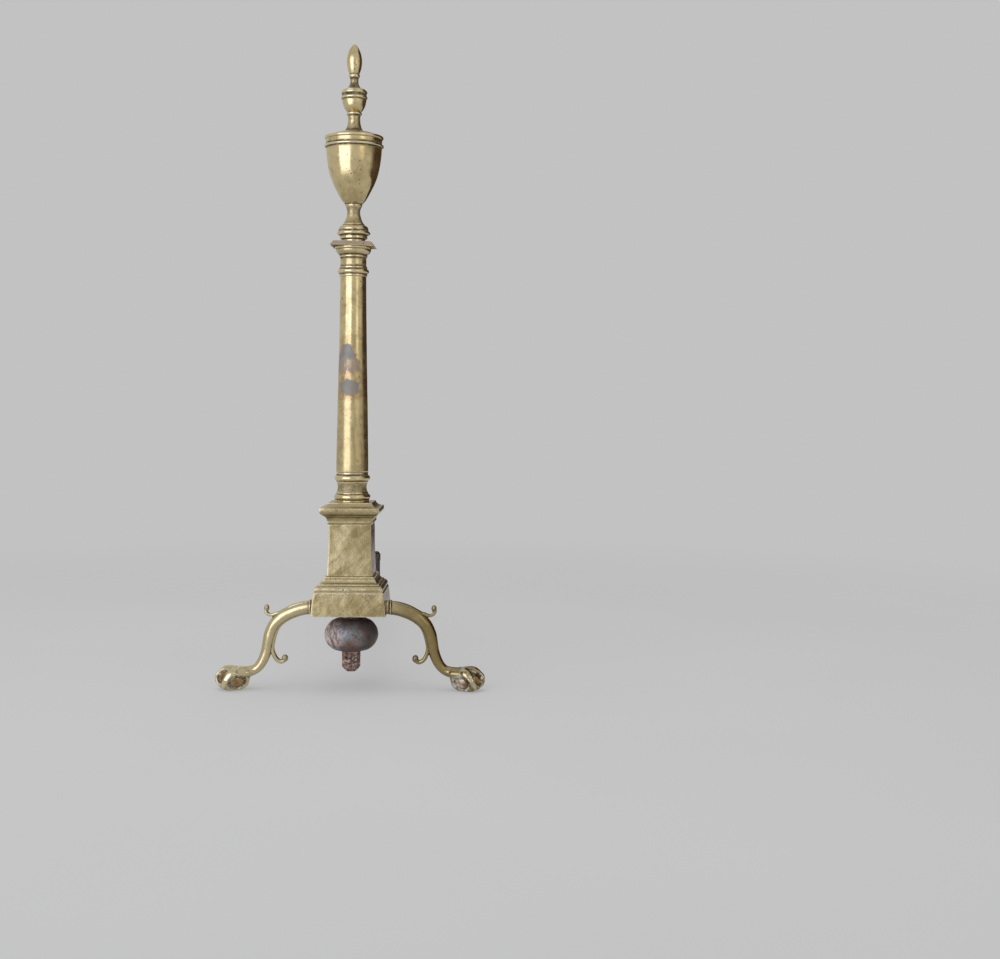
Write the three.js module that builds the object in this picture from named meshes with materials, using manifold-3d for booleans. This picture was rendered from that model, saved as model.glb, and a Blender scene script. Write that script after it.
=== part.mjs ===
// Andiron: a brass column with an urn on a square plinth, two spurred cabriole legs on
// claw-and-ball feet, and a wrought-iron billet bar behind. Millimetres, +Z up, front
// towards -Y. The pieces are stacked on one iron rod, from the plinth up to the small urn.
import * as THREE from 'three';
import { mergeVertices } from 'three/addons/utils/BufferGeometryUtils.js';
import Module from 'manifold-3d';

const wasm = await Module();
wasm.setup();

// ---------------------------------------------------------------- driving dimensions

const clearance = 0.3; // between a piece and what it passes through or seats on

const rod = { radius: 4, topEngagement: 11 };

const base = {
  footHeight: 83.5, // open lower edge of the plinth above the floor
  bottomHalf: 40.8,
  batter: 2.6, // how far each side of the block leans in
  blockHeight: 25.3,
  shelf: 1.2, // level edge inside the block's arris
  shelfRise: 1,
  ogeeHeight: 8.9,
  ogeeHalf: 33.5,
  ogeeSwell: 1.1,
  ogeeStep: 1.3,
  filletHeight: 1.6,
  coveHeight: 5.8,
  coveSink: 1.3,
  seatHalf: 27.6,
  seatStep: 0.9,
  seatHeight: 1.7,
  wall: 3.2,
  ledgeHeight: 20, // underside of the ledge that the clamp plate bears on
  ledgeWidth: 4,
};

const die = { height: 56.2, bottomHalf: 25.2, topHalf: 23.2, hollow: 0.5, wall: 4 };

const cap = {
  filletHalf: 24.3,
  filletHeight: 1.6,
  coveHalf: 28.6,
  coveHeight: 8.2,
  coveSink: 1.2,
  coveStep: 0.9,
  edgeHalf: 32.9,
  ovoloHeight: 6.6,
  ovoloSwell: 1.5,
  edgeHeight: 1.6,
  stepHalf: 24.3,
  slopeHeight: 4.5,
  slopeSink: 1.5,
  stepHeight: 1.2,
  topThickness: 4,
};

const columnBase = {
  lowerRadius: 18.6,
  lowerTorusRadius: 20,
  lowerTorusHeight: 5.6,
  scotiaRadius: 15.6,
  scotiaHeight: 12.3,
  upperRadius: 17.3,
  upperTorusRadius: 19.5,
  upperTorusHeight: 6.3,
  filletHeight: 2.7,
  spigotHeight: 5,
};

const shaft = { height: 215, bottomRadius: 17.6, topRadius: 14.3, entasis: 0.35, wall: 1.8 };

const capital = {
  filletRadius: 15.2,
  filletHeight: 2.8,
  astragalRadius: 17.2,
  astragalHeight: 5,
  neckingRadius: 14.2,
  neckingHeight: 10.4,
  echinusRadius: 19.3,
  echinusHeight: 6,
  echinusSwell: 1.1,
  ease: 0.4, // chamfer of the ring's lower edge
  ringRadius: 20.2,
  ringHeight: 3.9,
  seatRadius: 16,
  seatHeight: 3,
};

const abacus = { bottomHalf: 24.2, topHalf: 20.2, height: 5.3, sheet: 1.2 };

const urnFoot = {
  plugRadius: 12.8,
  plugHeight: 3,
  ringRadius: 15.1,
  ringHeight: 4.6,
  edgeRadius: 18.7,
  edgeHeight: 3,
  domeRadius: 12.6,
  domeHeight: 8.2,
  domeSwell: 1.2,
  waistRadius: 7.2,
  waistHeight: 14,
  topRadius: 9.2,
  neckHeight: 6.6,
};

const urn = {
  filletHeight: 2.2,
  bottomRadius: 9.4,
  shoulderRadius: 30.7,
  bowlHeight: 62.4,
  bandRadius: 32.8,
  bandHeight: 2.4,
  friezeRadius: 30.8,
  friezeHeight: 6,
  wall: 2,
};

const lid = {
  rimRadius: 32.4,
  rimHeight: 3.6,
  step: 3, // from the rim in to the dome
  domeRadius: 11.8,
  domeHeight: 5,
  domeSwell: 0.9,
  stemRadius: 6.7,
  flareHeight: 14,
  stemHeight: 4.4,
  collarRadius: 8.6,
  collarHeight: 3,
  spigotHeight: 3,
};

const smallUrn = {
  bottomRadius: 7.2,
  bowlRadius: 13.5,
  bowlHeight: 14.8,
  bandRadius: 14.5,
  bandHeight: 3,
  grooveRadius: 13.5,
  rimRadius: 14.3,
  rimHeight: 3.4,
  friezeHeight: 2.6,
};

const acorn = {
  lidRadius: 12.8,
  lidHeight: 5,
  lidEdge: 0.8,
  neckRadius: 4.5,
  neckHeight: 9.4,
  bandRadius: 6,
  bandHeight: 4,
  nutRadius: 8.8,
  nutHeight: 33,
  widestAt: 0.37, // share of the nut's height
  studRadius: 2.4,
  studLength: 8,
};

const leg = {
  forward: 12, // from the column's axis to the plane of the legs
  collarRadius: 7.6,
  collarLength: 4,
  collarRise: 7, // collar's centre above the plinth's open edge
  reach: 67.4, // from the plinth's side to the ankle
  ankleHeight: 19.4,
  rootThickness: 13.6,
  kneeThickness: 14.8,
  shinThickness: 10.8,
  ankleThickness: 9.6,
  keel: 0.9, // ridge along the outer side
  tenonRadius: 4,
};

const claw = {
  ballRadius: 15, // along and across the foot
  ballHeight: 25.4,
  flat: 0.8, // worn off the underside
  reach: 22.8, // from the ankle to the ball's centre
  lean: 24, // degrees from upright to the place where the talons meet, towards the ankle
  talonWidth: 3.3, // half of it at the first knuckle
  talonTip: 1.2,
  talonHeight: 0.8, // share of its half width that a talon stands proud
  knuckle: 0.6,
  sideTalonTurn: 76, // degrees round from the outer talon
  talonStart: 26,
  talonEnd: 140, // degrees over the ball from where the talons meet
  heelEnd: 116,
};

const spur = { rootThickness: 5, tipThickness: 2.4, curlThickness: 4.2, width: 7.4 };

const nut = { width: 13.4, thickness: 6 };

const plate = { thickness: 4 };

const post = {
  width: 21.4,
  thickness: 9,
  projection: 22.8, // below the ball
  chamferWidth: 6.6,
  chamferHeight: 5.6,
};

const ball = {
  gap: 7.1, // below the plinth's open edge
  height: 35,
  radius: 29.7,
  topRadius: 18,
  bottomRadius: 13,
  widestAt: 18, // above the underside
};

const bar = {
  width: 19,
  height: 12,
  length: 565, // from the column's axis to the rear leg's centre
  overhang: 9,
  skew: 2.1, // degrees to the left of straight back
  tenonRadius: 4,
  chamfer: 1.2,
};

const rivet = { headRadius: 5.6, headHeight: 2.4 };

const rearLeg = { depth: 12, sweep: 9, footLength: 30, footHeight: 7, tenonRadius: 3.6 };

const logStop = {
  distance: 96, // behind the column's axis
  width: 15,
  thickness: 8,
  height: 50,
  waist: 2.2,
  tenonRadius: 3.2,
};

const facets = {
  urn: 28, column: 24, finial: 16, rod: 12, limb: 12, limbSteps: 22, ball: 16, talon: 8,
};

const brass = { color: 0xb29a5e, roughness: 0.34, metalness: 1 };
const castBrass = { color: 0xa68f58, roughness: 0.42, metalness: 1 };
const iron = { color: 0x463a37, roughness: 0.68, metalness: 0.7 };

// ---------------------------------------------------------------- sizes that follow

const baseHeight =
  base.blockHeight + base.ogeeHeight + base.coveHeight + base.seatHeight;
const capHeight =
  cap.filletHeight + cap.coveHeight + cap.ovoloHeight + cap.edgeHeight + cap.slopeHeight +
  cap.stepHeight;
const columnBaseHeight =
  columnBase.lowerTorusHeight + columnBase.scotiaHeight + columnBase.upperTorusHeight +
  3 * columnBase.filletHeight;
const capitalHeight =
  3 * capital.filletHeight + capital.astragalHeight + capital.neckingHeight +
  capital.echinusHeight + capital.ringHeight + capital.seatHeight;
const urnFootHeight =
  urnFoot.plugHeight + urnFoot.ringHeight + urnFoot.edgeHeight + urnFoot.domeHeight +
  urnFoot.waistHeight + urnFoot.neckHeight;
const urnHeight = urn.filletHeight + urn.bowlHeight + urn.bandHeight + urn.friezeHeight;
const lidHeight =
  lid.rimHeight + lid.domeHeight + lid.flareHeight + lid.stemHeight + lid.collarHeight;
const smallUrnHeight =
  smallUrn.bowlHeight + smallUrn.bandHeight + smallUrn.friezeHeight + smallUrn.rimHeight;

const dieZ = base.footHeight + baseHeight;
const capZ = dieZ + die.height;
const columnBaseZ = capZ + capHeight;
const shaftZ = columnBaseZ + columnBaseHeight;
const capitalZ = shaftZ + shaft.height;
const abacusTopZ = capitalZ + capitalHeight + abacus.sheet;
const urnZ = abacusTopZ + urnFootHeight;
const lidZ = urnZ + urnHeight;
const smallUrnZ = lidZ + lidHeight;
const acornZ = smallUrnZ + smallUrnHeight;

const rodBore = rod.radius + clearance;
const collarZ = base.footHeight + leg.collarRise;
const legDrop = collarZ - leg.ankleHeight;
const blockTopHalf = base.bottomHalf - base.batter;
const cavityHalf = blockTopHalf - base.wall;
const plateTopZ = base.footHeight + base.ledgeHeight - clearance;
const postTopZ = plateTopZ - plate.thickness - clearance;
const ballTopZ = base.footHeight - ball.gap;
const ballZ = ballTopZ - ball.height;
const postZ = ballZ - post.projection;
const barBottomZ = ballTopZ + clearance;
const barTopZ = barBottomZ + bar.height;
const skewAngle = THREE.MathUtils.degToRad(bar.skew);

// ---------------------------------------------------------------- shapes

// A moulding's outline as radius and height, drawn from the bottom up.
class Outline {
  constructor(radius, height) {
    this.points = [new THREE.Vector2(radius, height)];
  }

  get end() {
    return this.points[this.points.length - 1];
  }

  line(radius, rise) {
    this.points.push(new THREE.Vector2(radius, this.end.y + rise));
    return this;
  }

  // A circular arc to the given radius and rise: a positive swell is convex.
  arc(radius, rise, swell, steps = 3) {
    const from = this.end;
    const to = new THREE.Vector2(radius, from.y + rise);
    const chord = to.clone().sub(from);
    const half = chord.length() / 2;
    const outward = new THREE.Vector2(chord.y, -chord.x).normalize();
    const size = Math.abs(swell);
    const arcRadius = (half * half + size * size) / (2 * size);
    const spread = 2 * Math.atan2(size, half);
    const middle = from.clone().add(to).multiplyScalar(0.5);
    const direction = chord.clone().normalize();
    for (let i = 1; i <= steps; i += 1) {
      const angle = spread * (2 * i / steps - 1);
      const along = arcRadius * Math.sin(angle);
      const out = arcRadius * (Math.cos(angle) - Math.cos(spread)) * Math.sign(swell);
      const point = middle.clone().addScaledVector(direction, along).addScaledVector(outward, out);
      this.points.push(i < steps ? point : to);
    }
    return this;
  }

  // A smooth stretch through radius and height pairs measured from its start.
  curve(pairs, steps) {
    const start = this.end.clone();
    const knots = [start.clone()];
    for (const [radius, rise] of pairs) {
      knots.push(new THREE.Vector2(radius, start.y + rise));
    }
    const spline = new THREE.SplineCurve(knots);
    this.points.push(...spline.getPoints(steps).slice(1));
    return this;
  }

  close() {
    this.points.push(this.points[0].clone());
    return this;
  }
}

function turned(outline, segments) {
  const geometry = new THREE.LatheGeometry(outline.points, segments);
  return geometry.rotateX(Math.PI / 2);
}

// The same outline run round a square and mitred: the radius is half the square's side.
function mitred(outline) {
  const corners = outline.points.map((p) => new THREE.Vector2(p.x * Math.SQRT2, p.y));
  const geometry = new THREE.LatheGeometry(corners, 4, Math.PI / 4);
  return geometry.rotateX(Math.PI / 2);
}

function cylinder(radius, length, segments = facets.rod) {
  return new THREE.CylinderGeometry(radius, radius, length, segments).rotateX(Math.PI / 2);
}

// A flat shape in X and Y, thickened along Z.
function slab(shape, depth, bevel = 0) {
  const options = {
    depth: depth - 2 * bevel,
    bevelEnabled: bevel > 0,
    bevelThickness: bevel,
    bevelSize: bevel,
    bevelOffset: -bevel,
    bevelSegments: 1,
    curveSegments: 6,
  };
  return new THREE.ExtrudeGeometry(shape, options).translate(0, 0, bevel);
}

function polygon(corners) {
  return new THREE.Shape(corners.map(([x, y]) => new THREE.Vector2(x, y)));
}

// A closed skin over rings of points, with a point at each end.
function skin(rings) {
  const count = rings[0].length;
  const positions = [];
  const faces = [];
  for (const ring of rings) {
    for (const point of ring) positions.push(point.x, point.y, point.z);
  }
  for (let i = 0; i + 1 < rings.length; i += 1) {
    for (let j = 0; j < count; j += 1) {
      const a = i * count + j;
      const b = i * count + ((j + 1) % count);
      faces.push(a, b, b + count, a, b + count, a + count);
    }
  }
  for (const [ring, first] of [[rings[0], true], [rings[rings.length - 1], false]]) {
    const centre = new THREE.Vector3();
    for (const point of ring) centre.addScaledVector(point, 1 / count);
    const hub = positions.length / 3;
    positions.push(centre.x, centre.y, centre.z);
    const offset = first ? 0 : (rings.length - 1) * count;
    for (let j = 0; j < count; j += 1) {
      const a = offset + j;
      const b = offset + ((j + 1) % count);
      if (first) faces.push(hub, b, a);
      else faces.push(hub, a, b);
    }
  }
  const geometry = new THREE.BufferGeometry();
  geometry.setAttribute('position', new THREE.Float32BufferAttribute(positions, 3));
  geometry.setIndex(faces);
  return geometry;
}

// A limb swept along a curve that lies in the X-Z plane. size(t) gives the section's
// thickness in that plane, its width across it and the height of its keel.
function limb(curve, steps, sides, size) {
  const across = new THREE.Vector3(0, 1, 0);
  const rings = [];
  for (let i = 0; i <= steps; i += 1) {
    const t = i / steps;
    const centre = curve.getPoint(t);
    const tangent = curve.getTangent(t);
    const outer = new THREE.Vector3().crossVectors(across, tangent).normalize();
    const { thickness, width, keel } = size(t);
    const ring = [];
    for (let j = 0; j < sides; j += 1) {
      const angle = (2 * Math.PI * j) / sides;
      const ridge = keel * Math.max(0, -Math.cos(angle)) ** 8;
      const out = Math.cos(angle) * (thickness / 2) - ridge;
      const side = Math.sin(angle) * (width / 2);
      ring.push(centre.clone().addScaledVector(outer, out).addScaledVector(across, side));
    }
    rings.push(ring);
  }
  return skin(rings);
}

// ---------------------------------------------------------------- joining and cutting

function solid(geometry) {
  const bare = geometry.clone();
  bare.deleteAttribute('normal');
  bare.deleteAttribute('uv');
  const merged = mergeVertices(bare, 1e-4);
  const vertProperties = new Float32Array(merged.attributes.position.array);
  const corners = merged.index.array;
  const kept = [];
  for (let i = 0; i < corners.length; i += 3) {
    const [a, b, c] = [corners[i], corners[i + 1], corners[i + 2]];
    if (a !== b && b !== c && c !== a) kept.push(a, b, c);
  }
  const mesh = new wasm.Mesh({ numProp: 3, vertProperties, triVerts: new Uint32Array(kept) });
  return new wasm.Manifold(mesh);
}

function faceted(manifold) {
  const mesh = manifold.getMesh();
  const geometry = new THREE.BufferGeometry();
  geometry.setAttribute('position', new THREE.BufferAttribute(mesh.vertProperties, 3));
  geometry.setIndex(new THREE.BufferAttribute(mesh.triVerts, 1));
  return geometry;
}

function joined(...geometries) {
  return geometries.map(solid).reduce((whole, next) => whole.add(next));
}

function cut(geometry, ...tools) {
  const whole = geometry.isBufferGeometry ? solid(geometry) : geometry;
  return tools.map(solid).reduce((rest, tool) => rest.subtract(tool), whole);
}

// ---------------------------------------------------------------- iron frame

// A round tenon along Z, from 0 up or down to its length, with a hammered head beyond it.
function headedTenon(radius, length, side) {
  const head = new Outline(0, 0);
  head.line(rivet.headRadius, 0).arc(0, rivet.headHeight, rivet.headHeight * 0.6, 4);
  const dome = turned(head, facets.rod).translate(0, 0, length);
  const full = length + rivet.headHeight / 2;
  const shank = cylinder(radius, full).translate(0, 0, full / 2);
  const tenon = faceted(joined(shank, dome));
  return side < 0 ? tenon.rotateX(Math.PI) : tenon;
}

// The post is flat where it passes through the ball, and drawn out into a round rod above.
function tieRod() {
  const half = post.width / 2;
  const shoulder = postZ + post.chamferHeight;
  const outline = polygon([
    [-half + post.chamferWidth, postZ],
    [half - post.chamferWidth, postZ],
    [half, shoulder],
    [half, postTopZ],
    [-half, postTopZ],
    [-half, shoulder],
  ]);
  const flat = slab(outline, post.thickness, bar.chamfer / 2).rotateX(Math.PI / 2);
  flat.translate(0, post.thickness / 2, 0);
  const top = smallUrnZ + rod.topEngagement;
  const length = top - postTopZ + post.thickness;
  const round = cylinder(rod.radius, length).translate(0, 0, top - length / 2);
  const whole = joined(flat, round);
  const hole = cylinder(bar.tenonRadius + clearance, 4 * post.thickness);
  hole.rotateX(Math.PI / 2).rotateZ(skewAngle).translate(0, 0, barBottomZ + bar.height / 2);
  return faceted(cut(whole, hole));
}

function dropBall() {
  const outline = new Outline(0, 0);
  outline.line(ball.bottomRadius, 0);
  outline.curve(
    [
      [ball.radius * 0.83, ball.widestAt * 0.3],
      [ball.radius, ball.widestAt],
      [ball.radius * 0.9, ball.widestAt + (ball.height - ball.widestAt) * 0.55],
      [ball.topRadius, ball.height],
    ],
    12,
  );
  outline.line(0, 0);
  const slot = new THREE.BoxGeometry(
    post.width + 2 * clearance,
    post.thickness + 2 * clearance,
    3 * ball.height,
  );
  const geometry = faceted(cut(turned(outline, facets.column), slot));
  return geometry.translate(0, 0, ballZ);
}

function clampPlate() {
  const half = cavityHalf - clearance;
  const outline = polygon([[-half, -half], [half, -half], [half, half], [-half, half]]);
  outline.holes.push(new THREE.Path().absarc(0, 0, rodBore, 0, 2 * Math.PI, true));
  return slab(outline, plate.thickness).translate(0, 0, plateTopZ - plate.thickness);
}

// The bar lies along +Y from the post, before it is turned by its skew.
function billetBar() {
  const start = post.thickness / 2 + clearance + Math.tan(skewAngle) * (bar.width / 2);
  const end = bar.length + bar.overhang;
  const half = bar.width / 2;
  const outline = polygon([[-half, start], [half, start], [half, end], [-half, end]]);
  const body = slab(outline, bar.height, bar.chamfer).translate(0, 0, barBottomZ);
  const headGap = clearance + Math.tan(skewAngle) * rivet.headRadius;
  const tenonLength = start + bar.chamfer + post.thickness / 2 + headGap;
  const tenon = headedTenon(bar.tenonRadius, tenonLength, 1);
  tenon.rotateX(Math.PI / 2);
  tenon.translate(0, start + bar.chamfer, barBottomZ + bar.height / 2);
  const stopHole = cylinder(logStop.tenonRadius + clearance, 4 * bar.height);
  stopHole.translate(0, logStop.distance, barTopZ);
  const legHole = cylinder(rearLeg.tenonRadius + clearance, 4 * bar.height);
  legHole.translate(0, bar.length, barTopZ);
  return faceted(cut(joined(body, tenon), stopHole, legHole));
}

// The rear leg sweeps back a little and ends in a flat foot that turns forward.
function rearLegGeometry() {
  const top = barBottomZ - clearance;
  const front = -rearLeg.depth / 2;
  const back = rearLeg.depth / 2;
  const toe = front + rearLeg.sweep - (rearLeg.footLength - rearLeg.depth) / 2;
  const heel = toe + rearLeg.footLength;
  const outline = new THREE.Shape();
  outline.moveTo(front, top);
  outline.bezierCurveTo(
    front, top * 0.6,
    front + rearLeg.sweep, top * 0.45,
    front + rearLeg.sweep, 2.2 * rearLeg.footHeight,
  );
  outline.quadraticCurveTo(front + rearLeg.sweep, rearLeg.footHeight, toe, rearLeg.footHeight / 2);
  outline.lineTo(toe, 0);
  outline.lineTo(heel, 0);
  outline.lineTo(heel, rearLeg.footHeight / 2);
  outline.quadraticCurveTo(
    back + rearLeg.sweep, rearLeg.footHeight,
    back + rearLeg.sweep, 2.2 * rearLeg.footHeight,
  );
  outline.bezierCurveTo(back + rearLeg.sweep, top * 0.45, back, top * 0.6, back, top);
  const body = slab(outline, bar.width, bar.chamfer / 2);
  body.translate(0, 0, -bar.width / 2).rotateX(Math.PI / 2).rotateZ(Math.PI / 2);
  const tenon = headedTenon(rearLeg.tenonRadius, bar.height + 3 * clearance + 1, 1);
  tenon.translate(0, 0, top - 1);
  return faceted(joined(body, tenon)).translate(0, bar.length, 0);
}

// A flat upright with a waist and a rounded head.
function logStopGeometry() {
  const half = logStop.width / 2;
  const bottom = barTopZ + clearance;
  const neck = bottom + logStop.height - half;
  const outline = new THREE.Shape();
  outline.moveTo(-half, bottom);
  outline.lineTo(half, bottom);
  outline.quadraticCurveTo(half - 2 * logStop.waist, bottom + logStop.height * 0.4, half, neck);
  outline.absarc(0, neck, half, 0, Math.PI);
  outline.quadraticCurveTo(-half + 2 * logStop.waist, bottom + logStop.height * 0.4, -half, bottom);
  const body = slab(outline, logStop.thickness, bar.chamfer / 2);
  body.rotateX(Math.PI / 2).translate(0, logStop.thickness / 2, 0);
  const tenon = headedTenon(logStop.tenonRadius, bar.height + 3 * clearance + 1, -1);
  tenon.translate(0, 0, bottom + 1);
  return faceted(joined(body, tenon)).translate(0, logStop.distance, 0);
}

// ---------------------------------------------------------------- plinth

// The outside of the plinth base, from its lower edge up, grown by a margin.
function baseOutside(outline, margin = 0) {
  return outline
    .line(base.bottomHalf + margin, 0)
    .line(blockTopHalf + margin, base.blockHeight)
    .line(blockTopHalf - base.shelf + margin, base.shelfRise)
    .arc(
      base.ogeeHalf + base.ogeeStep + margin,
      base.ogeeHeight - base.shelfRise - base.filletHeight,
      base.ogeeSwell,
      3,
    )
    .line(base.ogeeHalf + margin, 0)
    .line(base.ogeeHalf - base.filletHeight / 4 + margin, base.filletHeight)
    .arc(base.seatHalf + base.seatStep + margin, base.coveHeight - base.seatHeight / 2,
      -base.coveSink, 3)
    .line(base.seatHalf + margin, 0)
    .line(base.seatHalf + margin, 1.5 * base.seatHeight);
}

function plinthBase() {
  const outline = baseOutside(new Outline(cavityHalf, 0));
  const throat = die.bottomHalf - die.wall;
  outline.line(throat, 0);
  outline.line(cavityHalf - base.ledgeWidth, base.ledgeHeight - baseHeight);
  outline.line(cavityHalf, 0);
  outline.close();
  const body = mitred(outline).translate(0, 0, base.footHeight);
  const holes = cylinder(leg.tenonRadius + clearance, 4 * base.bottomHalf);
  holes.rotateY(Math.PI / 2).translate(0, -leg.forward, collarZ);
  const notch = new THREE.BoxGeometry(
    bar.width + 2 * clearance,
    2 * base.bottomHalf,
    2 * (barTopZ + clearance - base.footHeight),
  );
  notch.translate(0, base.bottomHalf + cavityHalf / 2, base.footHeight).rotateZ(skewAngle);
  return faceted(cut(body, holes, notch));
}

function plinthDie() {
  const outline = new Outline(die.bottomHalf - die.wall, 0);
  outline.line(die.bottomHalf, 0);
  outline.arc(die.topHalf, die.height, -die.hollow, 5);
  outline.line(die.topHalf - die.wall, 0);
  outline.close();
  return mitred(outline).translate(0, 0, dieZ);
}

function plinthCap() {
  const inner = die.topHalf - die.wall;
  const outline = new Outline(inner, 0);
  outline.line(cap.filletHalf, 0);
  outline.line(cap.filletHalf, cap.filletHeight);
  outline.line(cap.filletHalf + cap.coveStep, 0);
  outline.arc(cap.coveHalf - cap.coveStep, cap.coveHeight - cap.coveStep, -cap.coveSink, 4);
  outline.line(cap.coveHalf, 0);
  outline.line(cap.coveHalf, cap.coveStep);
  outline.arc(cap.edgeHalf, cap.ovoloHeight, cap.ovoloSwell, 4);
  outline.line(cap.edgeHalf, cap.edgeHeight);
  outline.arc(cap.stepHalf, cap.slopeHeight, -cap.slopeSink, 3);
  outline.line(cap.stepHalf, cap.stepHeight);
  outline.line(rodBore + 1, 0);
  outline.line(rodBore + 1, -cap.topThickness);
  outline.line(inner, 0);
  outline.close();
  return mitred(outline).translate(0, 0, capZ);
}

// ---------------------------------------------------------------- column

function columnBaseGeometry() {
  const spigot = shaft.bottomRadius - shaft.wall - clearance;
  const lower = columnBase.lowerTorusRadius - columnBase.lowerRadius;
  const upper = columnBase.upperTorusRadius - columnBase.upperRadius;
  const outline = new Outline(rodBore, 0);
  outline.line(columnBase.lowerRadius, 0);
  outline.line(columnBase.lowerRadius, columnBase.filletHeight);
  outline.arc(columnBase.lowerRadius, columnBase.lowerTorusHeight, lower);
  outline.line(columnBase.lowerRadius - 1, 0);
  outline.line(columnBase.lowerRadius - 1, columnBase.filletHeight / 2);
  outline.arc(
    columnBase.upperRadius,
    columnBase.scotiaHeight,
    columnBase.scotiaRadius - columnBase.upperRadius,
    5,
  );
  outline.line(columnBase.upperRadius, columnBase.filletHeight / 2);
  outline.arc(columnBase.upperRadius, columnBase.upperTorusHeight, upper);
  outline.line(columnBase.upperRadius, columnBase.filletHeight);
  outline.line(spigot, 0);
  outline.line(spigot, columnBase.spigotHeight);
  outline.line(rodBore, 0);
  outline.close();
  return turned(outline, facets.column).translate(0, 0, columnBaseZ);
}

function columnShaft() {
  const outline = new Outline(shaft.bottomRadius - shaft.wall, 0);
  outline.line(shaft.bottomRadius, 0);
  outline.arc(shaft.topRadius, shaft.height, shaft.entasis, 6);
  outline.line(shaft.topRadius - shaft.wall, 0);
  outline.close();
  return turned(outline, facets.column).translate(0, 0, shaftZ);
}

function capitalGeometry() {
  const spigot = shaft.topRadius - shaft.wall - clearance;
  const astragal = capital.astragalRadius - capital.filletRadius;
  const outline = new Outline(rodBore, -columnBase.spigotHeight);
  outline.line(spigot, 0);
  outline.line(spigot, columnBase.spigotHeight);
  outline.line(capital.filletRadius, 0);
  outline.line(capital.filletRadius, capital.filletHeight);
  outline.arc(capital.filletRadius, capital.astragalHeight, astragal);
  outline.line(capital.filletRadius, capital.filletHeight);
  outline.line(capital.neckingRadius, 0);
  outline.line(capital.neckingRadius, capital.neckingHeight);
  outline.line(capital.filletRadius, 0);
  outline.line(capital.filletRadius, capital.filletHeight);
  outline.arc(capital.echinusRadius, capital.echinusHeight, capital.echinusSwell);
  outline.line(capital.ringRadius, capital.ease);
  outline.line(capital.ringRadius, capital.ringHeight - capital.ease);
  outline.line(capital.seatRadius, 0);
  outline.line(capital.seatRadius, capital.seatHeight);
  outline.line(rodBore, 0);
  outline.close();
  return turned(outline, facets.column).translate(0, 0, capitalZ);
}

function abacusGeometry() {
  const outline = new Outline(rodBore + 1, -abacus.sheet);
  outline.line(abacus.topHalf - abacus.sheet, 0);
  outline.line(abacus.bottomHalf - abacus.sheet, abacus.sheet - abacus.height);
  outline.line(abacus.bottomHalf, 0);
  outline.line(abacus.topHalf, abacus.height);
  outline.line(rodBore + 1, 0);
  outline.close();
  return mitred(outline).translate(0, 0, abacusTopZ);
}

// ---------------------------------------------------------------- urn and finial

function urnFootGeometry() {
  const edge = urnFoot.edgeHeight / 2;
  const outline = new Outline(rodBore, 0);
  outline.line(urnFoot.plugRadius, 0);
  outline.line(urnFoot.plugRadius, urnFoot.plugHeight);
  outline.line(urnFoot.ringRadius, capital.ease);
  outline.line(urnFoot.ringRadius, urnFoot.ringHeight - capital.ease);
  outline.arc(urnFoot.edgeRadius - edge / 2, urnFoot.edgeHeight, edge);
  outline.arc(urnFoot.domeRadius, urnFoot.domeHeight, urnFoot.domeSwell);
  outline.curve(
    [
      [urnFoot.waistRadius + 1.4, urnFoot.waistHeight * 0.4],
      [urnFoot.waistRadius, urnFoot.waistHeight],
      [urnFoot.topRadius, urnFoot.waistHeight + urnFoot.neckHeight],
    ],
    9,
  );
  outline.line(rodBore, 0);
  outline.close();
  return turned(outline, facets.column).translate(0, 0, abacusTopZ);
}

// Radius of the bowl at a share of its height.
function bowlRadius(share) {
  const swell = Math.pow(Math.sin((Math.PI / 2) * Math.pow(share, 0.9)), 0.72);
  return urn.bottomRadius + (urn.shoulderRadius - urn.bottomRadius) * swell;
}

function urnBody() {
  const steps = 8;
  const outline = new Outline(rodBore, 0);
  outline.line(urn.bottomRadius, 0);
  outline.line(urn.bottomRadius, urn.filletHeight);
  for (let i = 1; i <= steps; i += 1) {
    outline.line(bowlRadius(i / steps), urn.bowlHeight / steps);
  }
  const band = urn.bandRadius - urn.shoulderRadius;
  outline.arc(urn.friezeRadius, urn.bandHeight, band);
  outline.line(urn.friezeRadius, urn.friezeHeight);
  outline.line(urn.friezeRadius - urn.wall, 0);
  outline.line(urn.shoulderRadius - urn.wall, -urn.friezeHeight - urn.bandHeight);
  for (let i = steps - 1; i >= 1; i -= 1) {
    outline.line(bowlRadius(i / steps) - urn.wall, -urn.bowlHeight / steps);
  }
  outline.line(rodBore, 0);
  outline.close();
  return turned(outline, facets.urn).translate(0, 0, urnZ);
}

function urnLid() {
  const spigot = urn.friezeRadius - urn.wall - clearance;
  const edge = urn.friezeRadius;
  const outline = new Outline(rodBore, -lid.spigotHeight);
  outline.line(spigot, 0);
  outline.line(spigot, lid.spigotHeight);
  outline.line(edge, 0);
  outline.arc(edge, lid.rimHeight, lid.rimRadius - edge);
  outline.line(edge - lid.step, 0);
  outline.arc(lid.domeRadius, lid.domeHeight, lid.domeSwell, 3);
  outline.curve(
    [
      [lid.stemRadius + 1.6, lid.flareHeight * 0.35],
      [lid.stemRadius, lid.flareHeight],
      [lid.stemRadius + 0.3, lid.flareHeight + lid.stemHeight],
    ],
    8,
  );
  outline.arc(lid.stemRadius + 0.3, lid.collarHeight, lid.collarRadius - lid.stemRadius - 0.3);
  outline.line(rodBore, 0);
  outline.close();
  return turned(outline, facets.urn).translate(0, 0, lidZ);
}

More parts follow.
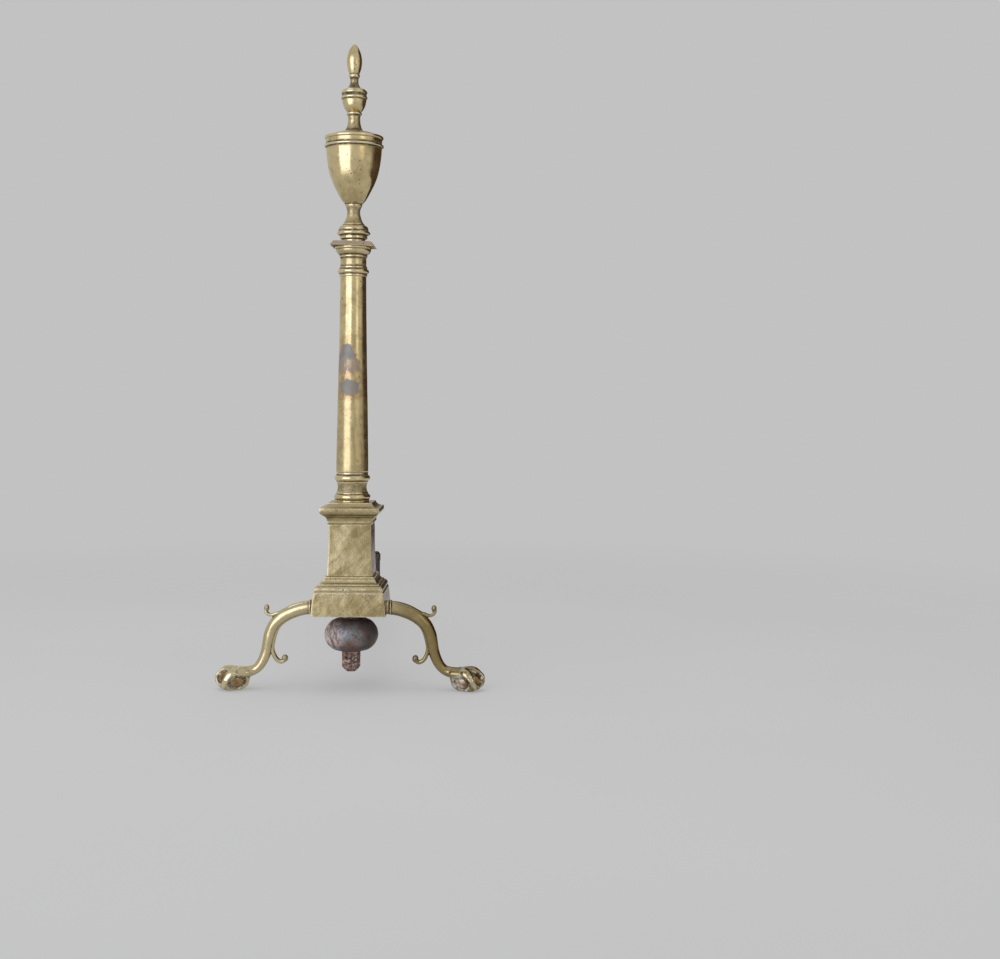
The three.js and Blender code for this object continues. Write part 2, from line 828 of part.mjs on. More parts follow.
function smallUrnGeometry() {
  const stud = acorn.studRadius + clearance;
  const outline = new Outline(rodBore, 0);
  outline.line(smallUrn.bottomRadius, 0);
  outline.curve(
    [
      [smallUrn.bowlRadius * 0.8, smallUrn.bowlHeight * 0.38],
      [smallUrn.bowlRadius * 0.97, smallUrn.bowlHeight * 0.75],
      [smallUrn.bowlRadius, smallUrn.bowlHeight],
    ],
    6,
  );
  outline.arc(smallUrn.grooveRadius, smallUrn.bandHeight,
    smallUrn.bandRadius - smallUrn.grooveRadius);
  outline.line(smallUrn.grooveRadius, smallUrn.friezeHeight);
  outline.arc(smallUrn.grooveRadius, smallUrn.rimHeight,
    smallUrn.rimRadius - smallUrn.grooveRadius);
  outline.line(stud, 0);
  outline.line(stud, rod.topEngagement + clearance - smallUrnHeight);
  outline.line(rodBore, 0);
  outline.close();
  return turned(outline, facets.finial).translate(0, 0, smallUrnZ);
}

function acornFinial() {
  const outline = new Outline(0, -acorn.studLength);
  outline.line(acorn.studRadius, 0);
  outline.line(acorn.studRadius, acorn.studLength);
  outline.line(acorn.lidRadius, 0);
  outline.line(acorn.lidRadius, acorn.lidEdge);
  const neckEnd = acorn.neckRadius + (acorn.bandRadius - acorn.neckRadius) / 3;
  outline.arc(neckEnd + acorn.lidEdge, acorn.lidHeight - acorn.lidEdge, -acorn.lidEdge, 4);
  outline.arc(neckEnd, acorn.neckHeight, acorn.neckRadius - neckEnd, 3);
  outline.arc(neckEnd, acorn.bandHeight, acorn.bandRadius - neckEnd);
  const widest = acorn.nutHeight * acorn.widestAt;
  outline.curve(
    [
      [acorn.nutRadius * 0.9, widest * 0.42],
      [acorn.nutRadius, widest],
      [acorn.nutRadius * 0.8, widest + (acorn.nutHeight - widest) * 0.52],
      [0, acorn.nutHeight],
    ],
    10,
  );
  return turned(outline, facets.finial).translate(0, 0, acornZ);
}

// ---------------------------------------------------------------- cabriole legs

// A place in the leg's own plane: shares of its reach from the plinth's side and of its drop
// above the ankle.
function legPoint([out, up]) {
  return new THREE.Vector3(
    base.bottomHalf + leg.reach * out,
    0,
    leg.ankleHeight + legDrop * up,
  );
}

// Smooth values between named stations: each is a share of the way and a value.
function stations(t, table) {
  let i = 1;
  while (i < table.length - 1 && table[i][0] < t) i += 1;
  const [from, low] = table[i - 1];
  const [to, high] = table[i];
  const share = THREE.MathUtils.smoothstep(t, from, to);
  return low + (high - low) * share;
}

function legLimb() {
  const line = [
    [-0.1, 1.0], [0.12, 0.985], [0.3, 0.94], [0.48, 0.86], [0.61, 0.745], [0.675, 0.613],
    [0.71, 0.477], [0.75, 0.294], [0.81, 0.155], [0.895, 0.051], [1, 0], [1.13, -0.01],
    [1.3, -0.02],
  ];
  const curve = new THREE.CatmullRomCurve3(line.map(legPoint));
  const thickness = [
    [0, leg.rootThickness], [0.34, leg.kneeThickness], [0.62, leg.shinThickness],
    [0.84, leg.ankleThickness], [1, leg.ankleThickness * 1.5],
  ];
  const width = [
    [0, leg.rootThickness], [0.32, leg.kneeThickness * 1.08], [0.62, leg.shinThickness * 1.06],
    [0.84, leg.ankleThickness * 1.12], [1, claw.ballRadius * 1.4],
  ];
  const keel = [[0, 0], [0.25, leg.keel], [0.8, leg.keel], [1, 0]];
  return limb(curve, facets.limbSteps, facets.limb, (t) => ({
    thickness: stations(t, thickness),
    width: stations(t, width),
    keel: stations(t, keel),
  }));
}

// A leaf-like spur that leaves the leg along its surface and curls at its end.
function spurLimb(line, steps) {
  const curve = new THREE.CatmullRomCurve3(line.map(legPoint));
  const thickness = [
    [0, spur.rootThickness], [0.75, spur.tipThickness], [0.9, spur.curlThickness],
    [1, spur.curlThickness * 0.7],
  ];
  const width = [[0, spur.width], [0.7, spur.width * 0.62], [1, spur.width * 0.6]];
  return limb(curve, steps, 8, (t) => ({
    thickness: stations(t, thickness),
    width: stations(t, width),
    keel: 0,
  }));
}

// The ball and the four talons that spread over it from where the ankle lies on it: one
// outwards, one down each side and a short one at the heel.
function clawAndBall() {
  const degrees = THREE.MathUtils.degToRad;
  const rise = claw.ballHeight / 2;
  const centre = legPoint([1, 0]);
  centre.x += claw.reach;
  centre.z = rise - claw.flat;
  const stretch = new THREE.Vector3(claw.ballRadius, claw.ballRadius, rise);
  const sphere = new THREE.SphereGeometry(1, facets.ball, facets.ball - 4);
  sphere.rotateX(Math.PI / 2).scale(stretch.x, stretch.y, stretch.z);
  sphere.translate(centre.x, centre.y, centre.z);

  const lean = degrees(claw.lean);
  const pole = new THREE.Vector3(-Math.sin(lean), 0, Math.cos(lean));
  const outward = new THREE.Vector3(Math.cos(lean), 0, Math.sin(lean));
  const side = new THREE.Vector3(0, 1, 0);
  const talons = [
    [0, claw.talonEnd],
    [claw.sideTalonTurn, claw.talonEnd],
    [-claw.sideTalonTurn, claw.talonEnd],
    [180, claw.heelEnd],
  ];
  const steps = 9;
  const skins = talons.map(([turn, end]) => {
    const meridian = outward.clone().multiplyScalar(Math.cos(degrees(turn)))
      .addScaledVector(side, Math.sin(degrees(turn)));
    const rings = [];
    for (let i = 0; i <= steps; i += 1) {
      const t = i / steps;
      const angle = degrees(claw.talonStart + (end - claw.talonStart) * t);
      const out = pole.clone().multiplyScalar(Math.cos(angle))
        .addScaledVector(meridian, Math.sin(angle));
      const along = pole.clone().multiplyScalar(-Math.sin(angle))
        .addScaledVector(meridian, Math.cos(angle));
      const across = new THREE.Vector3().crossVectors(along, out).normalize();
      const knuckle = claw.knuckle * Math.cos(4 * Math.PI * t) * (1 - t);
      const half = claw.talonWidth + (claw.talonTip - claw.talonWidth) * t ** 2 + knuckle;
      const place = out.clone().multiply(stretch).add(centre);
      const ring = [];
      for (let j = 0; j < facets.talon; j += 1) {
        const theta = (2 * Math.PI * j) / facets.talon;
        ring.push(place.clone()
          .addScaledVector(across, -half * Math.cos(theta))
          .addScaledVector(out, half * claw.talonHeight * Math.sin(theta)));
      }
      rings.push(ring);
    }
    return skin(rings);
  });
  return [sphere, ...skins];
}

function legGeometry() {
  const upperSpur = [
    [0.34, 0.9], [0.52, 0.9], [0.66, 0.862], [0.745, 0.87], [0.795, 0.93], [0.785, 1.0],
    [0.735, 1.02],
  ];
  const lowerSpur = [
    [0.68, 0.5], [0.655, 0.34], [0.6, 0.205], [0.51, 0.13], [0.42, 0.15], [0.388, 0.21],
    [0.425, 0.26],
  ];
  const start = legPoint([0, 1]);
  const collar = cylinder(leg.collarRadius, leg.collarLength * 2, facets.column);
  collar.rotateY(Math.PI / 2).translate(start.x, 0, start.z);
  const whole = joined(
    legLimb(),
    collar,
    spurLimb(upperSpur, 14),
    spurLimb(lowerSpur, 14),
    ...clawAndBall(),
  );
  const plinthSide = mitred(baseOutside(new Outline(0, 0), clearance).line(0, 0));
  plinthSide.translate(0, 0, base.footHeight);
  const below = new THREE.BoxGeometry(
    2 * (base.bottomHalf + clearance),
    2 * base.bottomHalf,
    2 * base.footHeight,
  );
  const floor = new THREE.BoxGeometry(8 * leg.reach, 8 * leg.reach, base.footHeight);
  floor.translate(0, 0, -base.footHeight / 2);
  const tenonStart = cavityHalf - nut.thickness - 2 * clearance;
  const tenonLength = start.x + leg.collarLength / 2 - tenonStart;
  const tenon = cylinder(leg.tenonRadius, tenonLength);
  tenon.rotateY(Math.PI / 2).translate(tenonStart + tenonLength / 2, 0, start.z);
  const trimmed = [plinthSide, below, floor].map(solid)
    .reduce((rest, tool) => rest.subtract(tool), whole);
  return faceted(trimmed.add(solid(tenon)));
}

function legNut() {
  const half = nut.width / 2;
  const outline = polygon([[-half, -half], [half, -half], [half, half], [-half, half]]);
  const hole = new THREE.Path().absarc(0, 0, leg.tenonRadius + clearance, 0, 2 * Math.PI, true);
  outline.holes.push(hole);
  const geometry = slab(outline, nut.thickness);
  geometry.rotateY(Math.PI / 2);
  return geometry.translate(cavityHalf - clearance - nut.thickness, 0, collarZ);
}

// ---------------------------------------------------------------- assembly

function piece(name, geometry, finish) {
  const mesh = new THREE.Mesh(geometry, new THREE.MeshStandardMaterial(finish));
  mesh.name = name;
  return mesh;
}

const andiron = new THREE.Group();

andiron.add(
  piece('acorn_finial', acornFinial(), brass),
  piece('small_urn', smallUrnGeometry(), brass),
  piece('urn_lid', urnLid(), brass),
  piece('urn_body', urnBody(), brass),
  piece('urn_foot', urnFootGeometry(), brass),
  piece('abacus', abacusGeometry(), castBrass),
  piece('capital', capitalGeometry(), brass),
  piece('column_shaft', columnShaft(), brass),
  piece('column_base', columnBaseGeometry(), brass),
  piece('plinth_cap', plinthCap(), castBrass),
  piece('plinth_die', plinthDie(), castBrass),
  piece('plinth_base', plinthBase(), castBrass),
  piece('clamp_plate', clampPlate(), iron),
  piece('tie_rod', tieRod(), iron),
  piece('drop_ball', dropBall(), iron),
);

for (const [side, turn] of [['right', 0], ['left', Math.PI]]) {
  const pair = new THREE.Group();
  pair.add(
    piece(`${side}_leg`, legGeometry(), castBrass),
    piece(`${side}_leg_nut`, legNut(), iron),
  );
  pair.rotation.z = turn;
  pair.position.y = -leg.forward;
  andiron.add(pair);
}

const barGroup = new THREE.Group();
barGroup.rotation.z = skewAngle;
barGroup.add(
  piece('billet_bar', billetBar(), iron),
  piece('rear_leg', rearLegGeometry(), iron),
  piece('log_stop', logStopGeometry(), iron),
);
andiron.add(barGroup);

// The origin is on the floor, under the middle of the whole andiron.
const extent = new THREE.Box3().setFromObject(andiron);
andiron.position.set(
  -(extent.min.x + extent.max.x) / 2,
  -(extent.min.y + extent.max.y) / 2,
  -extent.min.z,
);

export default andiron;
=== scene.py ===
"""Brass and iron andiron: finished surfaces over the fixed frame, in metres.

The column stands on its axis, 12 mm behind the legs; the floor is Z = 0 and the front
faces -Y. Outlines of the stacked pieces are in millimetres above their own node's
underside; the legs, the bar and its uprights are in millimetres above the floor.
"""

import math

import bmesh
import bpy
import numpy as np
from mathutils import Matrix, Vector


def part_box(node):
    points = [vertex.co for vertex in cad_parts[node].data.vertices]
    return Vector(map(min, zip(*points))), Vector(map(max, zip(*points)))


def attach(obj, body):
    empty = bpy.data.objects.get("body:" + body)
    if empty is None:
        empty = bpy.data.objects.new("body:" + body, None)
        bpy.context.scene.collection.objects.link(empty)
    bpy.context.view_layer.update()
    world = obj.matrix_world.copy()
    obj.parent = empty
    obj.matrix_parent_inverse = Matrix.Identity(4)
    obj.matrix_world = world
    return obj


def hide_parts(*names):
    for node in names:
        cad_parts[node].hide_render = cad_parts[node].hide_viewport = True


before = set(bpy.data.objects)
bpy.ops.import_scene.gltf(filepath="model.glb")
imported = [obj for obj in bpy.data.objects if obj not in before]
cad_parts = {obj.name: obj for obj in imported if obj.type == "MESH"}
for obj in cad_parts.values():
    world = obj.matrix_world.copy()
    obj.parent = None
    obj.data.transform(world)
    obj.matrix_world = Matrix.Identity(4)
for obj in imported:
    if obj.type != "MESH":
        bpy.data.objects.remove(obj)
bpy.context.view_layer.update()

bl_info = {
    "name": "Andiron",
    "version": (1, 0, 0),
    "blender": (4, 5, 0),
    "location": "View3D > Sidebar > Andiron",
    "description": "Builds the visible surfaces, metals and studio of a brass andiron",
    "category": "Object",
}

MM = 0.001
BODY = "root"
BORE = 4.3  # radius of the hole for the tie rod, in every piece stacked on it
BAR_SKEW = math.radians(2.1)  # how far the bar runs off square, seen from above


def middle(node):
    """The centre of a node's box in X and Y, and its underside."""
    low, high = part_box(node)
    return np.array([(low.x + high.x) / 2, (low.y + high.y) / 2, low.z])


AXIS = middle("column_shaft")[:2]
LEG_PLANE = middle("left_leg_nut")[1]


# ------------------------------------------------------------------ settings


def amount(unit, name, description, default, low=0.0, high=100.0):
    return bpy.props.FloatProperty(name=name, description=description, default=default,
                                   min=low, max=high, unit=unit, precision=5)


def colour(name, description, *default):
    return bpy.props.FloatVectorProperty(name=name, description=description,
                                         default=default, subtype="COLOR", min=0, max=1)


class AndironSizes(bpy.types.PropertyGroup):
    arris: amount("LENGTH", "Arris", "Rounding worn onto turned and cast edges",
                  0.32 * MM, 0.05 * MM, 1.5 * MM)
    corner: amount("LENGTH", "Corner", "Radius of the plinth's upright corners",
                   0.9 * MM, 0.2 * MM, 3 * MM)
    cast_ripple: amount("LENGTH", "Casting ripple", "Height of the hills in cast faces",
                        0.11 * MM, 0.0, 0.5 * MM)
    forge_ripple: amount("LENGTH", "Forging ripple", "Height of the hills in forged iron",
                         0.3 * MM, 0.0, 1 * MM)
    leg_grain: amount("LENGTH", "Leg grain", "Grid that the legs are blended on",
                      0.5 * MM, 0.35 * MM, 1.5 * MM)
    forge_grain: amount("LENGTH", "Forge grain", "Grid that the bar is blended on",
                        0.9 * MM, 0.5 * MM, 2 * MM)


class AndironMetals(bpy.types.PropertyGroup):
    brass: colour("Brass", "Clean satin brass", 0.79, 0.65, 0.355)
    cast_brass: colour("Cast brass", "Duller brass of plinth and legs", 0.455, 0.37, 0.19)
    # olive film in blotches, also laid on as painted shade on the undersides of turned brass
    tarnish_and_shade: colour("Tarnish", "Olive film in blotches over the brass", 0.33, 0.245, 0.105)
    # blackened polish in pits and grooves, also laid on as painted shade in grooves and on
    # undersides
    grime_and_shade: colour("Grime", "Blackened polish in the grooves", 0.055, 0.038, 0.022)
    residue: colour("Residue", "Pale dried polish in crevices", 0.80, 0.76, 0.68)
    copper: colour("Coppery brass", "Brown metal between the talons", 0.47, 0.30, 0.13)
    heat: colour("Heat stain", "Grey-violet bloom on the column", 0.275, 0.255, 0.228)
    iron: colour("Wrought iron", "Brown-black forged iron", 0.095, 0.066, 0.056)
    rust: colour("Rust", "Pinkish brown rust", 0.25, 0.135, 0.095)
    ball_iron: colour("Ball iron", "Bluish grey iron of the ball", 0.225, 0.222, 0.228)


class AndironStudio(bpy.types.PropertyGroup):
    backdrop: colour("Backdrop", "Even grey around the andiron", 0.54, 0.54, 0.54)
    floor: colour("Floor", "Pale floor", 0.66, 0.66, 0.66)
    floor_radius: amount("LENGTH", "Floor radius", "Where the floor has faded out",
                         1.7, 1.0, 10.0)
    camera_side: amount("LENGTH", "Camera side", "Camera to the right of the column",
                        0.1621, -10.0)
    camera_distance: amount("LENGTH", "Camera distance", "Camera in front of the column",
                            1.6063, 0.5)
    camera_height: amount("LENGTH", "Camera height", "Camera above the floor", 0.3168)
    key_power: amount("POWER", "Key power", "Tall soft lamp in front on the left", 18.0)
    top_power: amount("POWER", "Top power", "Wide soft lamp overhead", 15.0)
    fill_power: amount("POWER", "Fill power", "Small warm lamp in front on the right", 1.2)


def sizes():
    return bpy.context.scene.andiron_sizes


def metals():
    return bpy.context.scene.andiron_metals


def studio():
    return bpy.context.scene.andiron_studio


# ------------------------------------------------------------------ lines


def ease(t):
    """From 0 to 1 with a level start and end: 3t*t - 2t*t*t."""
    return t * t * (3 - 2 * t)


def between(t, table):
    """Smooth values between stations (share of the way, value)."""
    at, values = np.array(table).T
    i = np.clip(np.searchsorted(at, t, side="right") - 1, 0, len(at) - 2)
    share = ease(np.clip((t - at[i]) / (at[i + 1] - at[i]), 0, 1))
    return values[i] + (values[i + 1] - values[i]) * share


def arc(start, end, swell, count=14):
    """A circular arc from start to end that bows out by swell on the chord's right.

    Formula: with half chord h and swell s, the arc's radius is (h*h + s*s) / 2s; points
    lie at equal angles about its centre.
    """
    start, end = np.asarray(start, float), np.asarray(end, float)
    half = np.linalg.norm(end - start) / 2
    along = (end - start) / (2 * half)
    outward = np.array([along[1], -along[0]])
    radius = (half * half + swell * swell) / (2 * abs(swell))
    spread = 2 * math.atan2(abs(swell), half)
    angle = np.linspace(-spread, spread, count + 1)
    bow = radius * (np.cos(angle) - math.cos(spread)) * np.sign(swell)
    return ((start + end) / 2 + np.outer(radius * np.sin(angle), along)
            + np.outer(bow, outward))[1:]


def spline(points, count=12):
    """A smooth line through points: Catmull-Rom, count steps between neighbours."""
    points = np.asarray(points, float)
    ends = np.vstack([2 * points[0] - points[1], points, 2 * points[-1] - points[-2]])
    t = (np.arange(count) / count)[None, :, None]
    a, b, c, d = (ends[i:len(ends) - 3 + i][:, None, :] for i in range(4))
    inner = 0.5 * (2 * b + (c - a) * t + (2 * a - 5 * b + 4 * c - d) * t ** 2
                   + (3 * b - a - 3 * c + d) * t ** 3)
    return np.vstack([inner.reshape(-1, points.shape[1]), points[-1]])


def outline(moves):
    """Joins moves into one line of (radius, height): a pair is a straight stroke, a triple
    is an arc with its swell, and a list of pairs is a smooth curve."""
    line = [np.asarray(moves[0], float)[None, :]]
    for move in moves[1:]:
        last = line[-1][-1]
        if isinstance(move, list):
            line.append(spline([last] + move)[1:])
        elif len(move) == 3:
            line.append(arc(last, move[:2], move[2]))
        else:
            line.append(np.asarray(move, float)[None, :])
    return np.vstack(line)


def blur(values, radius, spacing, closed):
    """Running Gaussian mean of the rows of values, of the given radius.

    A closed line wraps round; an open one is carried on past each end, turned half about
    that end, so that its ends stay where they are.
    """
    reach = min(max(1, int(3 * radius / spacing)), len(values) - 2)
    offsets = np.arange(-reach, reach + 1)
    weights = np.exp(-0.5 * (offsets * spacing / radius) ** 2)
    weights /= weights.sum()
    before, after = values[-reach:], values[:reach]
    if not closed:
        before = 2 * values[0] - values[reach:0:-1]
        after = 2 * values[-1] - values[-2:-reach - 2:-1]
    padded = np.vstack([before, values, after])
    return np.stack([np.convolve(column, weights, "valid") for column in padded.T], axis=1)


def worn(line, arris, spacing, closed):
    """The line at even spacing with its corners rounded, and its bend at every point.

    Formula: resampled by length along it, blurred with a Gaussian of radius arris; the
    bend is the turn from one step to the next over the spacing, positive on an outer edge,
    and hollows are counted over a wider stretch as well.
    """
    if closed:
        line = np.vstack([line, line[:1]])
    steps = np.linalg.norm(np.diff(line, axis=0), axis=1)
    line, steps = line[np.concatenate([[True], steps > 1e-9])], steps[steps > 1e-9]
    length = np.concatenate([[0], np.cumsum(steps)])
    count = max(8, int(round(length[-1] / spacing)))
    at = np.linspace(0, length[-1], count + 1)
    even = np.stack([np.interp(at, length, line[:, i]) for i in range(2)], axis=1)
    if closed:
        even = even[:-1]
    step = length[-1] / count
    smooth = blur(even, arris, step, closed)
    before, after = np.roll(smooth, 1, axis=0), np.roll(smooth, -1, axis=0)
    if not closed:
        before[0], after[-1] = smooth[0], smooth[-1]
    first, second = smooth - before, after - smooth
    turn = ((first[:, 0] * second[:, 1] - first[:, 1] * second[:, 0]) / step ** 3)[:, None]
    near = blur(turn, 0.45, step, closed)[:, 0]
    wide = blur(turn, 1.2, step, closed)[:, 0]
    return smooth, np.where(near > 0, near, near + 2.0 * np.minimum(wide, 0))


def tangents(path):
    """Unit directions along a line of points."""
    step = np.gradient(path, axis=0)
    return step / np.linalg.norm(step, axis=1, keepdims=True)


def hills(points, size, seed=0.0):
    """Smooth random heights from -1 to 1 over points in space.

    Formula: random values at the corners of cubes of the given size, blended along each
    axis by 3t*t - 2t*t*t.
    """
    scaled = np.asarray(points, float) / size + 37.0
    cell = np.floor(scaled)
    t = ease(scaled - cell)
    total = np.zeros(scaled.shape[:-1])
    for corner in np.ndindex(2, 2, 2):
        at = cell + np.array(corner)
        value = np.sin(at @ np.array([127.1, 311.7, 74.7]) + 13.7 * seed) * 43758.5453
        share = np.prod(np.where(np.array(corner) == 1, t, 1 - t), axis=-1)
        total += share * (value - np.floor(value))
    return 2 * total - 1


# ------------------------------------------------------------------ shells


def full_turn(count):
    """Even angles round a circle."""
    return np.linspace(0, 2 * math.pi, count, endpoint=False)


def squared(values, power):
    """Cosines or sines raised to 2/power with their signs kept: a high power squares the
    circle that they draw."""
    return np.sign(values) * np.abs(values) ** (2 / power)


def grid_faces(rows, columns, rows_closed=False, columns_closed=True):
    """Four-sided faces over a grid of rows and columns of points."""
    i = np.arange(rows if rows_closed else rows - 1)
    j = np.arange(columns if columns_closed else columns - 1)
    i, j = (a.ravel() for a in np.meshgrid(i, j, indexing="ij"))
    below, beside = (i + 1) % rows, (j + 1) % columns
    return np.stack([i * columns + j, i * columns + beside, below * columns + beside,
                     below * columns + j], axis=1)


def shell(rings, closed=False):
    """Points and faces of the skin over rings; closed joins the last to the first."""
    return rings.reshape(-1, 3), grid_faces(*rings.shape[:2], closed)


def capped(rings):
    """The skin over rings, with each end drawn in to its middle."""
    first, last = (np.repeat(end.mean(axis=1, keepdims=True), rings.shape[1], axis=1)
                   for end in (rings[:1], rings[-1:]))
    return shell(np.concatenate([first, rings, last]))


def revolved(line, segments):
    """Rings round the Z axis.

    Formula: x = r cos a, y = r sin a, z = h for the line's points (r, h) and angles a.
    """
    angle = full_turn(segments)
    radius, height = line[:, :1], line[:, 1:]
    return np.stack([radius * np.cos(angle), radius * np.sin(angle), height + 0 * angle],
                    axis=-1)


def sphere(rows, columns):
    """Unit directions in rings from the top pole to the lower one."""
    polar = np.linspace(0, math.pi, rows)
    return revolved(np.stack([np.sin(polar), np.cos(polar)], axis=1), columns)


def rings_along(path, thickness, width, across, sides, power=2.0, ridge=0.0):
    """Closed rings about a path, in the plane of its bend and across it.

    Formula: at angle a a ring's point is path + out * (th/2) cos a + across * (w/2) sin a,
    with both raised to 2/power, so that a high power gives a rounded rectangle; ridge
    lifts a keel along the outer side by ridge * cos(a)^8.
    """
    across = np.asarray(across, float)
    out = np.cross(across, tangents(path))
    out /= np.linalg.norm(out, axis=1, keepdims=True)
    angle = full_turn(sides)
    keel = np.maximum(0, -np.cos(angle)) ** 8
    lift = (thickness / 2)[:, None] * squared(np.cos(angle), power)
    lift = lift - np.asarray(ridge)[..., None] * keel
    side = (width / 2)[:, None] * squared(np.sin(angle), power)
    return (path[:, None, :] + lift[..., None] * out[:, None, :]
            + side[..., None] * across)


def post(height, half_x, half_y, power):
    """Rings of an upright of rounded rectangles.

    Formula: x = a |cos|^(2/p), y = b |sin|^(2/p) with the signs kept, at every height.
    """
    angle, flat = full_turn(72), 0 * height[:, None]
    power = power + flat
    return np.stack([(half_x[:, None] + flat) * squared(np.cos(angle), power),
                     (half_y[:, None] + flat) * squared(np.sin(angle), power),
                     height[:, None] + 0 * angle], axis=-1)


def together(shells):
    """Points and faces of several shells in one pair of arrays."""
    starts = np.cumsum([0] + [len(points) for points, _ in shells])
    return (np.vstack([points for points, _ in shells]),
            np.vstack([faces + start for (_, faces), start in zip(shells, starts)]))


# ------------------------------------------------------------------ meshes


def make_mesh(name, points, faces, marks=None):
    """A smooth-shaded mesh from arrays."""
    mesh = bpy.data.meshes.new(name)
    count, sides = faces.shape
    mesh.vertices.add(len(points))
    mesh.vertices.foreach_set("co", np.ascontiguousarray(points, "f4").ravel())
    mesh.loops.add(faces.size)
    mesh.loops.foreach_set("vertex_index", np.ascontiguousarray(faces, "i4").ravel())
    mesh.polygons.add(count)
    mesh.polygons.foreach_set("loop_start", np.arange(count, dtype="i4") * sides)
    mesh.polygons.foreach_set("loop_total", np.full(count, sides, "i4"))
    mesh.polygons.foreach_set("use_smooth", np.ones(count, bool))
    mesh.update(calc_edges=True)
    set_marks(mesh, marks or {})
    return mesh


def set_marks(mesh, marks):
    for name, values in marks.items():
        layer = mesh.attributes.get(name) or mesh.attributes.new(name, "FLOAT", "POINT")
        layer.data.foreach_set("value", np.ascontiguousarray(values, "f4").ravel())


def edge_marks(bend, edge_at, groove_at):
    """The marks edge and groove, full where the bend reaches the given amounts."""
    return {"edge": np.clip(bend / edge_at, 0, 1),
            "groove": np.clip(-bend / groove_at, 0, 1)}


def through_bmesh(mesh, change):
    work = bmesh.new()
    work.from_mesh(mesh)
    change(work)
    work.to_mesh(mesh)
    work.free()
    mesh.update()


def weld(mesh):
    """Merges points that coincide, which closes poles and seams."""
    through_bmesh(mesh, lambda work: bmesh.ops.remove_doubles(
        work, verts=work.verts, dist=1e-7))


def turn_outward(mesh):
    """Turns every closed shell's faces outwards."""
    through_bmesh(mesh, lambda work: bmesh.ops.recalc_face_normals(
        work, faces=work.faces))


def read(items, name, width=3, kind="f4"):
    """One property of all the items, a row for each."""
    values = np.empty(len(items) * width, kind)
    items.foreach_get(name, values)
    return values.reshape(-1, width)


def move_points(mesh, points):
    mesh.vertices.foreach_set("co", points.astype("f4").ravel())
    mesh.update()


def surface_bend(mesh, spread=3):
    """The points, and how far each one stands out of its surroundings.

    Formula: the mean of the neighbours minus the point, along the normal, over the mean
    squared edge length, then averaged over the neighbours spread times.
    """
    points = read(mesh.vertices, "co").astype(float)
    normals = read(mesh.vertices, "normal")
    a, b = read(mesh.edges, "vertices", 2, "i4").T
    count = len(points)
    degree = np.bincount(a, minlength=count) + np.bincount(b, minlength=count)
    degree = np.maximum(degree, 1)

    def mean(from_a, from_b):
        total = np.bincount(a, weights=from_b, minlength=count)
        return (total + np.bincount(b, weights=from_a, minlength=count)) / degree

    around = np.stack([mean(axis[a], axis[b]) for axis in points.T], axis=1)
    span = np.linalg.norm(points[a] - points[b], axis=1) ** 2
    bend = -4 * np.einsum("ij,ij->i", around - points, normals) / mean(span, span) * MM
    for _ in range(spread):
        bend = 0.5 * bend + 0.5 * mean(bend[a], bend[b])
    return points, bend


def show(mesh, material):
    obj = bpy.data.objects.new(mesh.name, mesh)
    bpy.context.scene.collection.objects.link(obj)
    mesh.materials.clear()
    mesh.materials.append(material)
    return obj


def place(obj, node, slot):
    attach(obj, BODY)
    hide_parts(node)
    return obj


def finish(obj):
    """Replaces an object's mesh by the one its modifiers give, and removes them."""
    bpy.context.view_layer.update()
    shaped = obj.evaluated_get(bpy.context.evaluated_depsgraph_get())
    mesh, old = bpy.data.meshes.new_from_object(shaped), obj.data
    obj.modifiers.clear()
    obj.data = mesh
    mesh.name = obj.name
    bpy.data.meshes.remove(old)
    mesh.polygons.foreach_set("use_smooth", np.ones(len(mesh.polygons), bool))
    mesh.update()
    return obj


def block(name, low, high, to_frame, material):
    """A box between two corners, for carve."""
    corners = np.array([[x, y, z] for z in (low[2], high[2]) for x in (low[0], high[0])
                        for y in (low[1], high[1])], float)
    faces = np.array([[0, 1, 3, 2], [4, 6, 7, 5], [0, 4, 5, 1], [2, 3, 7, 6],
                      [0, 2, 6, 4], [1, 5, 7, 3]])
    mesh = make_mesh(name, to_frame(corners), faces)
    turn_outward(mesh)
    return show(mesh, material)


def carve(obj, cutter):
    """Takes the cutter's solid out of the object and removes it."""
    step = obj.modifiers.new("cut", "BOOLEAN")
    step.operation = "DIFFERENCE"
    step.solver = "EXACT"
    step.object = cutter
    finish(obj)
    mesh = cutter.data
    bpy.data.objects.remove(cutter)
    bpy.data.meshes.remove(mesh)


def blended(name, shells, material, grain, rounds):
    """One skin round several shells that run into each other, with softened creases."""
    mesh = make_mesh(name, *together(shells))
    weld(mesh)
    turn_outward(mesh)
    obj = show(mesh, material)
    skin = obj.modifiers.new("skin", "REMESH")
    skin.mode = "VOXEL"
    skin.voxel_size = grain
    skin.adaptivity = 0.0
    soften = obj.modifiers.new("soften", "SMOOTH")
    soften.factor = 0.5
    soften.iterations = rounds
    return finish(obj)


# ------------------------------------------------------------------ stacked pieces


def on_axis(points, node):
    """From millimetres about the column's axis, above the node's underside."""
    return points * MM + np.array([*AXIS, middle(node)[2]])


def turned(name, node, moves, spacing=0.35, segments=104, material=None,
           slot="polished_brass", arris=None, ripple=0.0, closed=True):
    """A piece turned on the column's axis.

    Formula: x = r cos a, y = r sin a for the outline's points (r, z) and angles a round
    the axis; r is lowered a little by random hills where ripple isn't 0.
    """
    line, bend = worn(outline(moves), arris or sizes().arris / MM, spacing, closed)
    line[:, 0] = np.maximum(line[:, 0], 0)
    points = revolved(line, segments)
    if ripple:
        away = hills(points, 9.0) + 0.5 * hills(points, 4.0, 3.0) - 1.5
        points[..., :2] *= (1 + ripple * away / np.maximum(line[:, :1], 3))[..., None]
    marks = edge_marks(np.repeat(bend, segments), 0.9, 0.42)
    mesh = make_mesh(name, *shell(on_axis(points, node), closed), marks)
    if not closed:
        weld(mesh)
    return place(show(mesh, material or metal(turned_brass, "turned_brass")), node, slot)


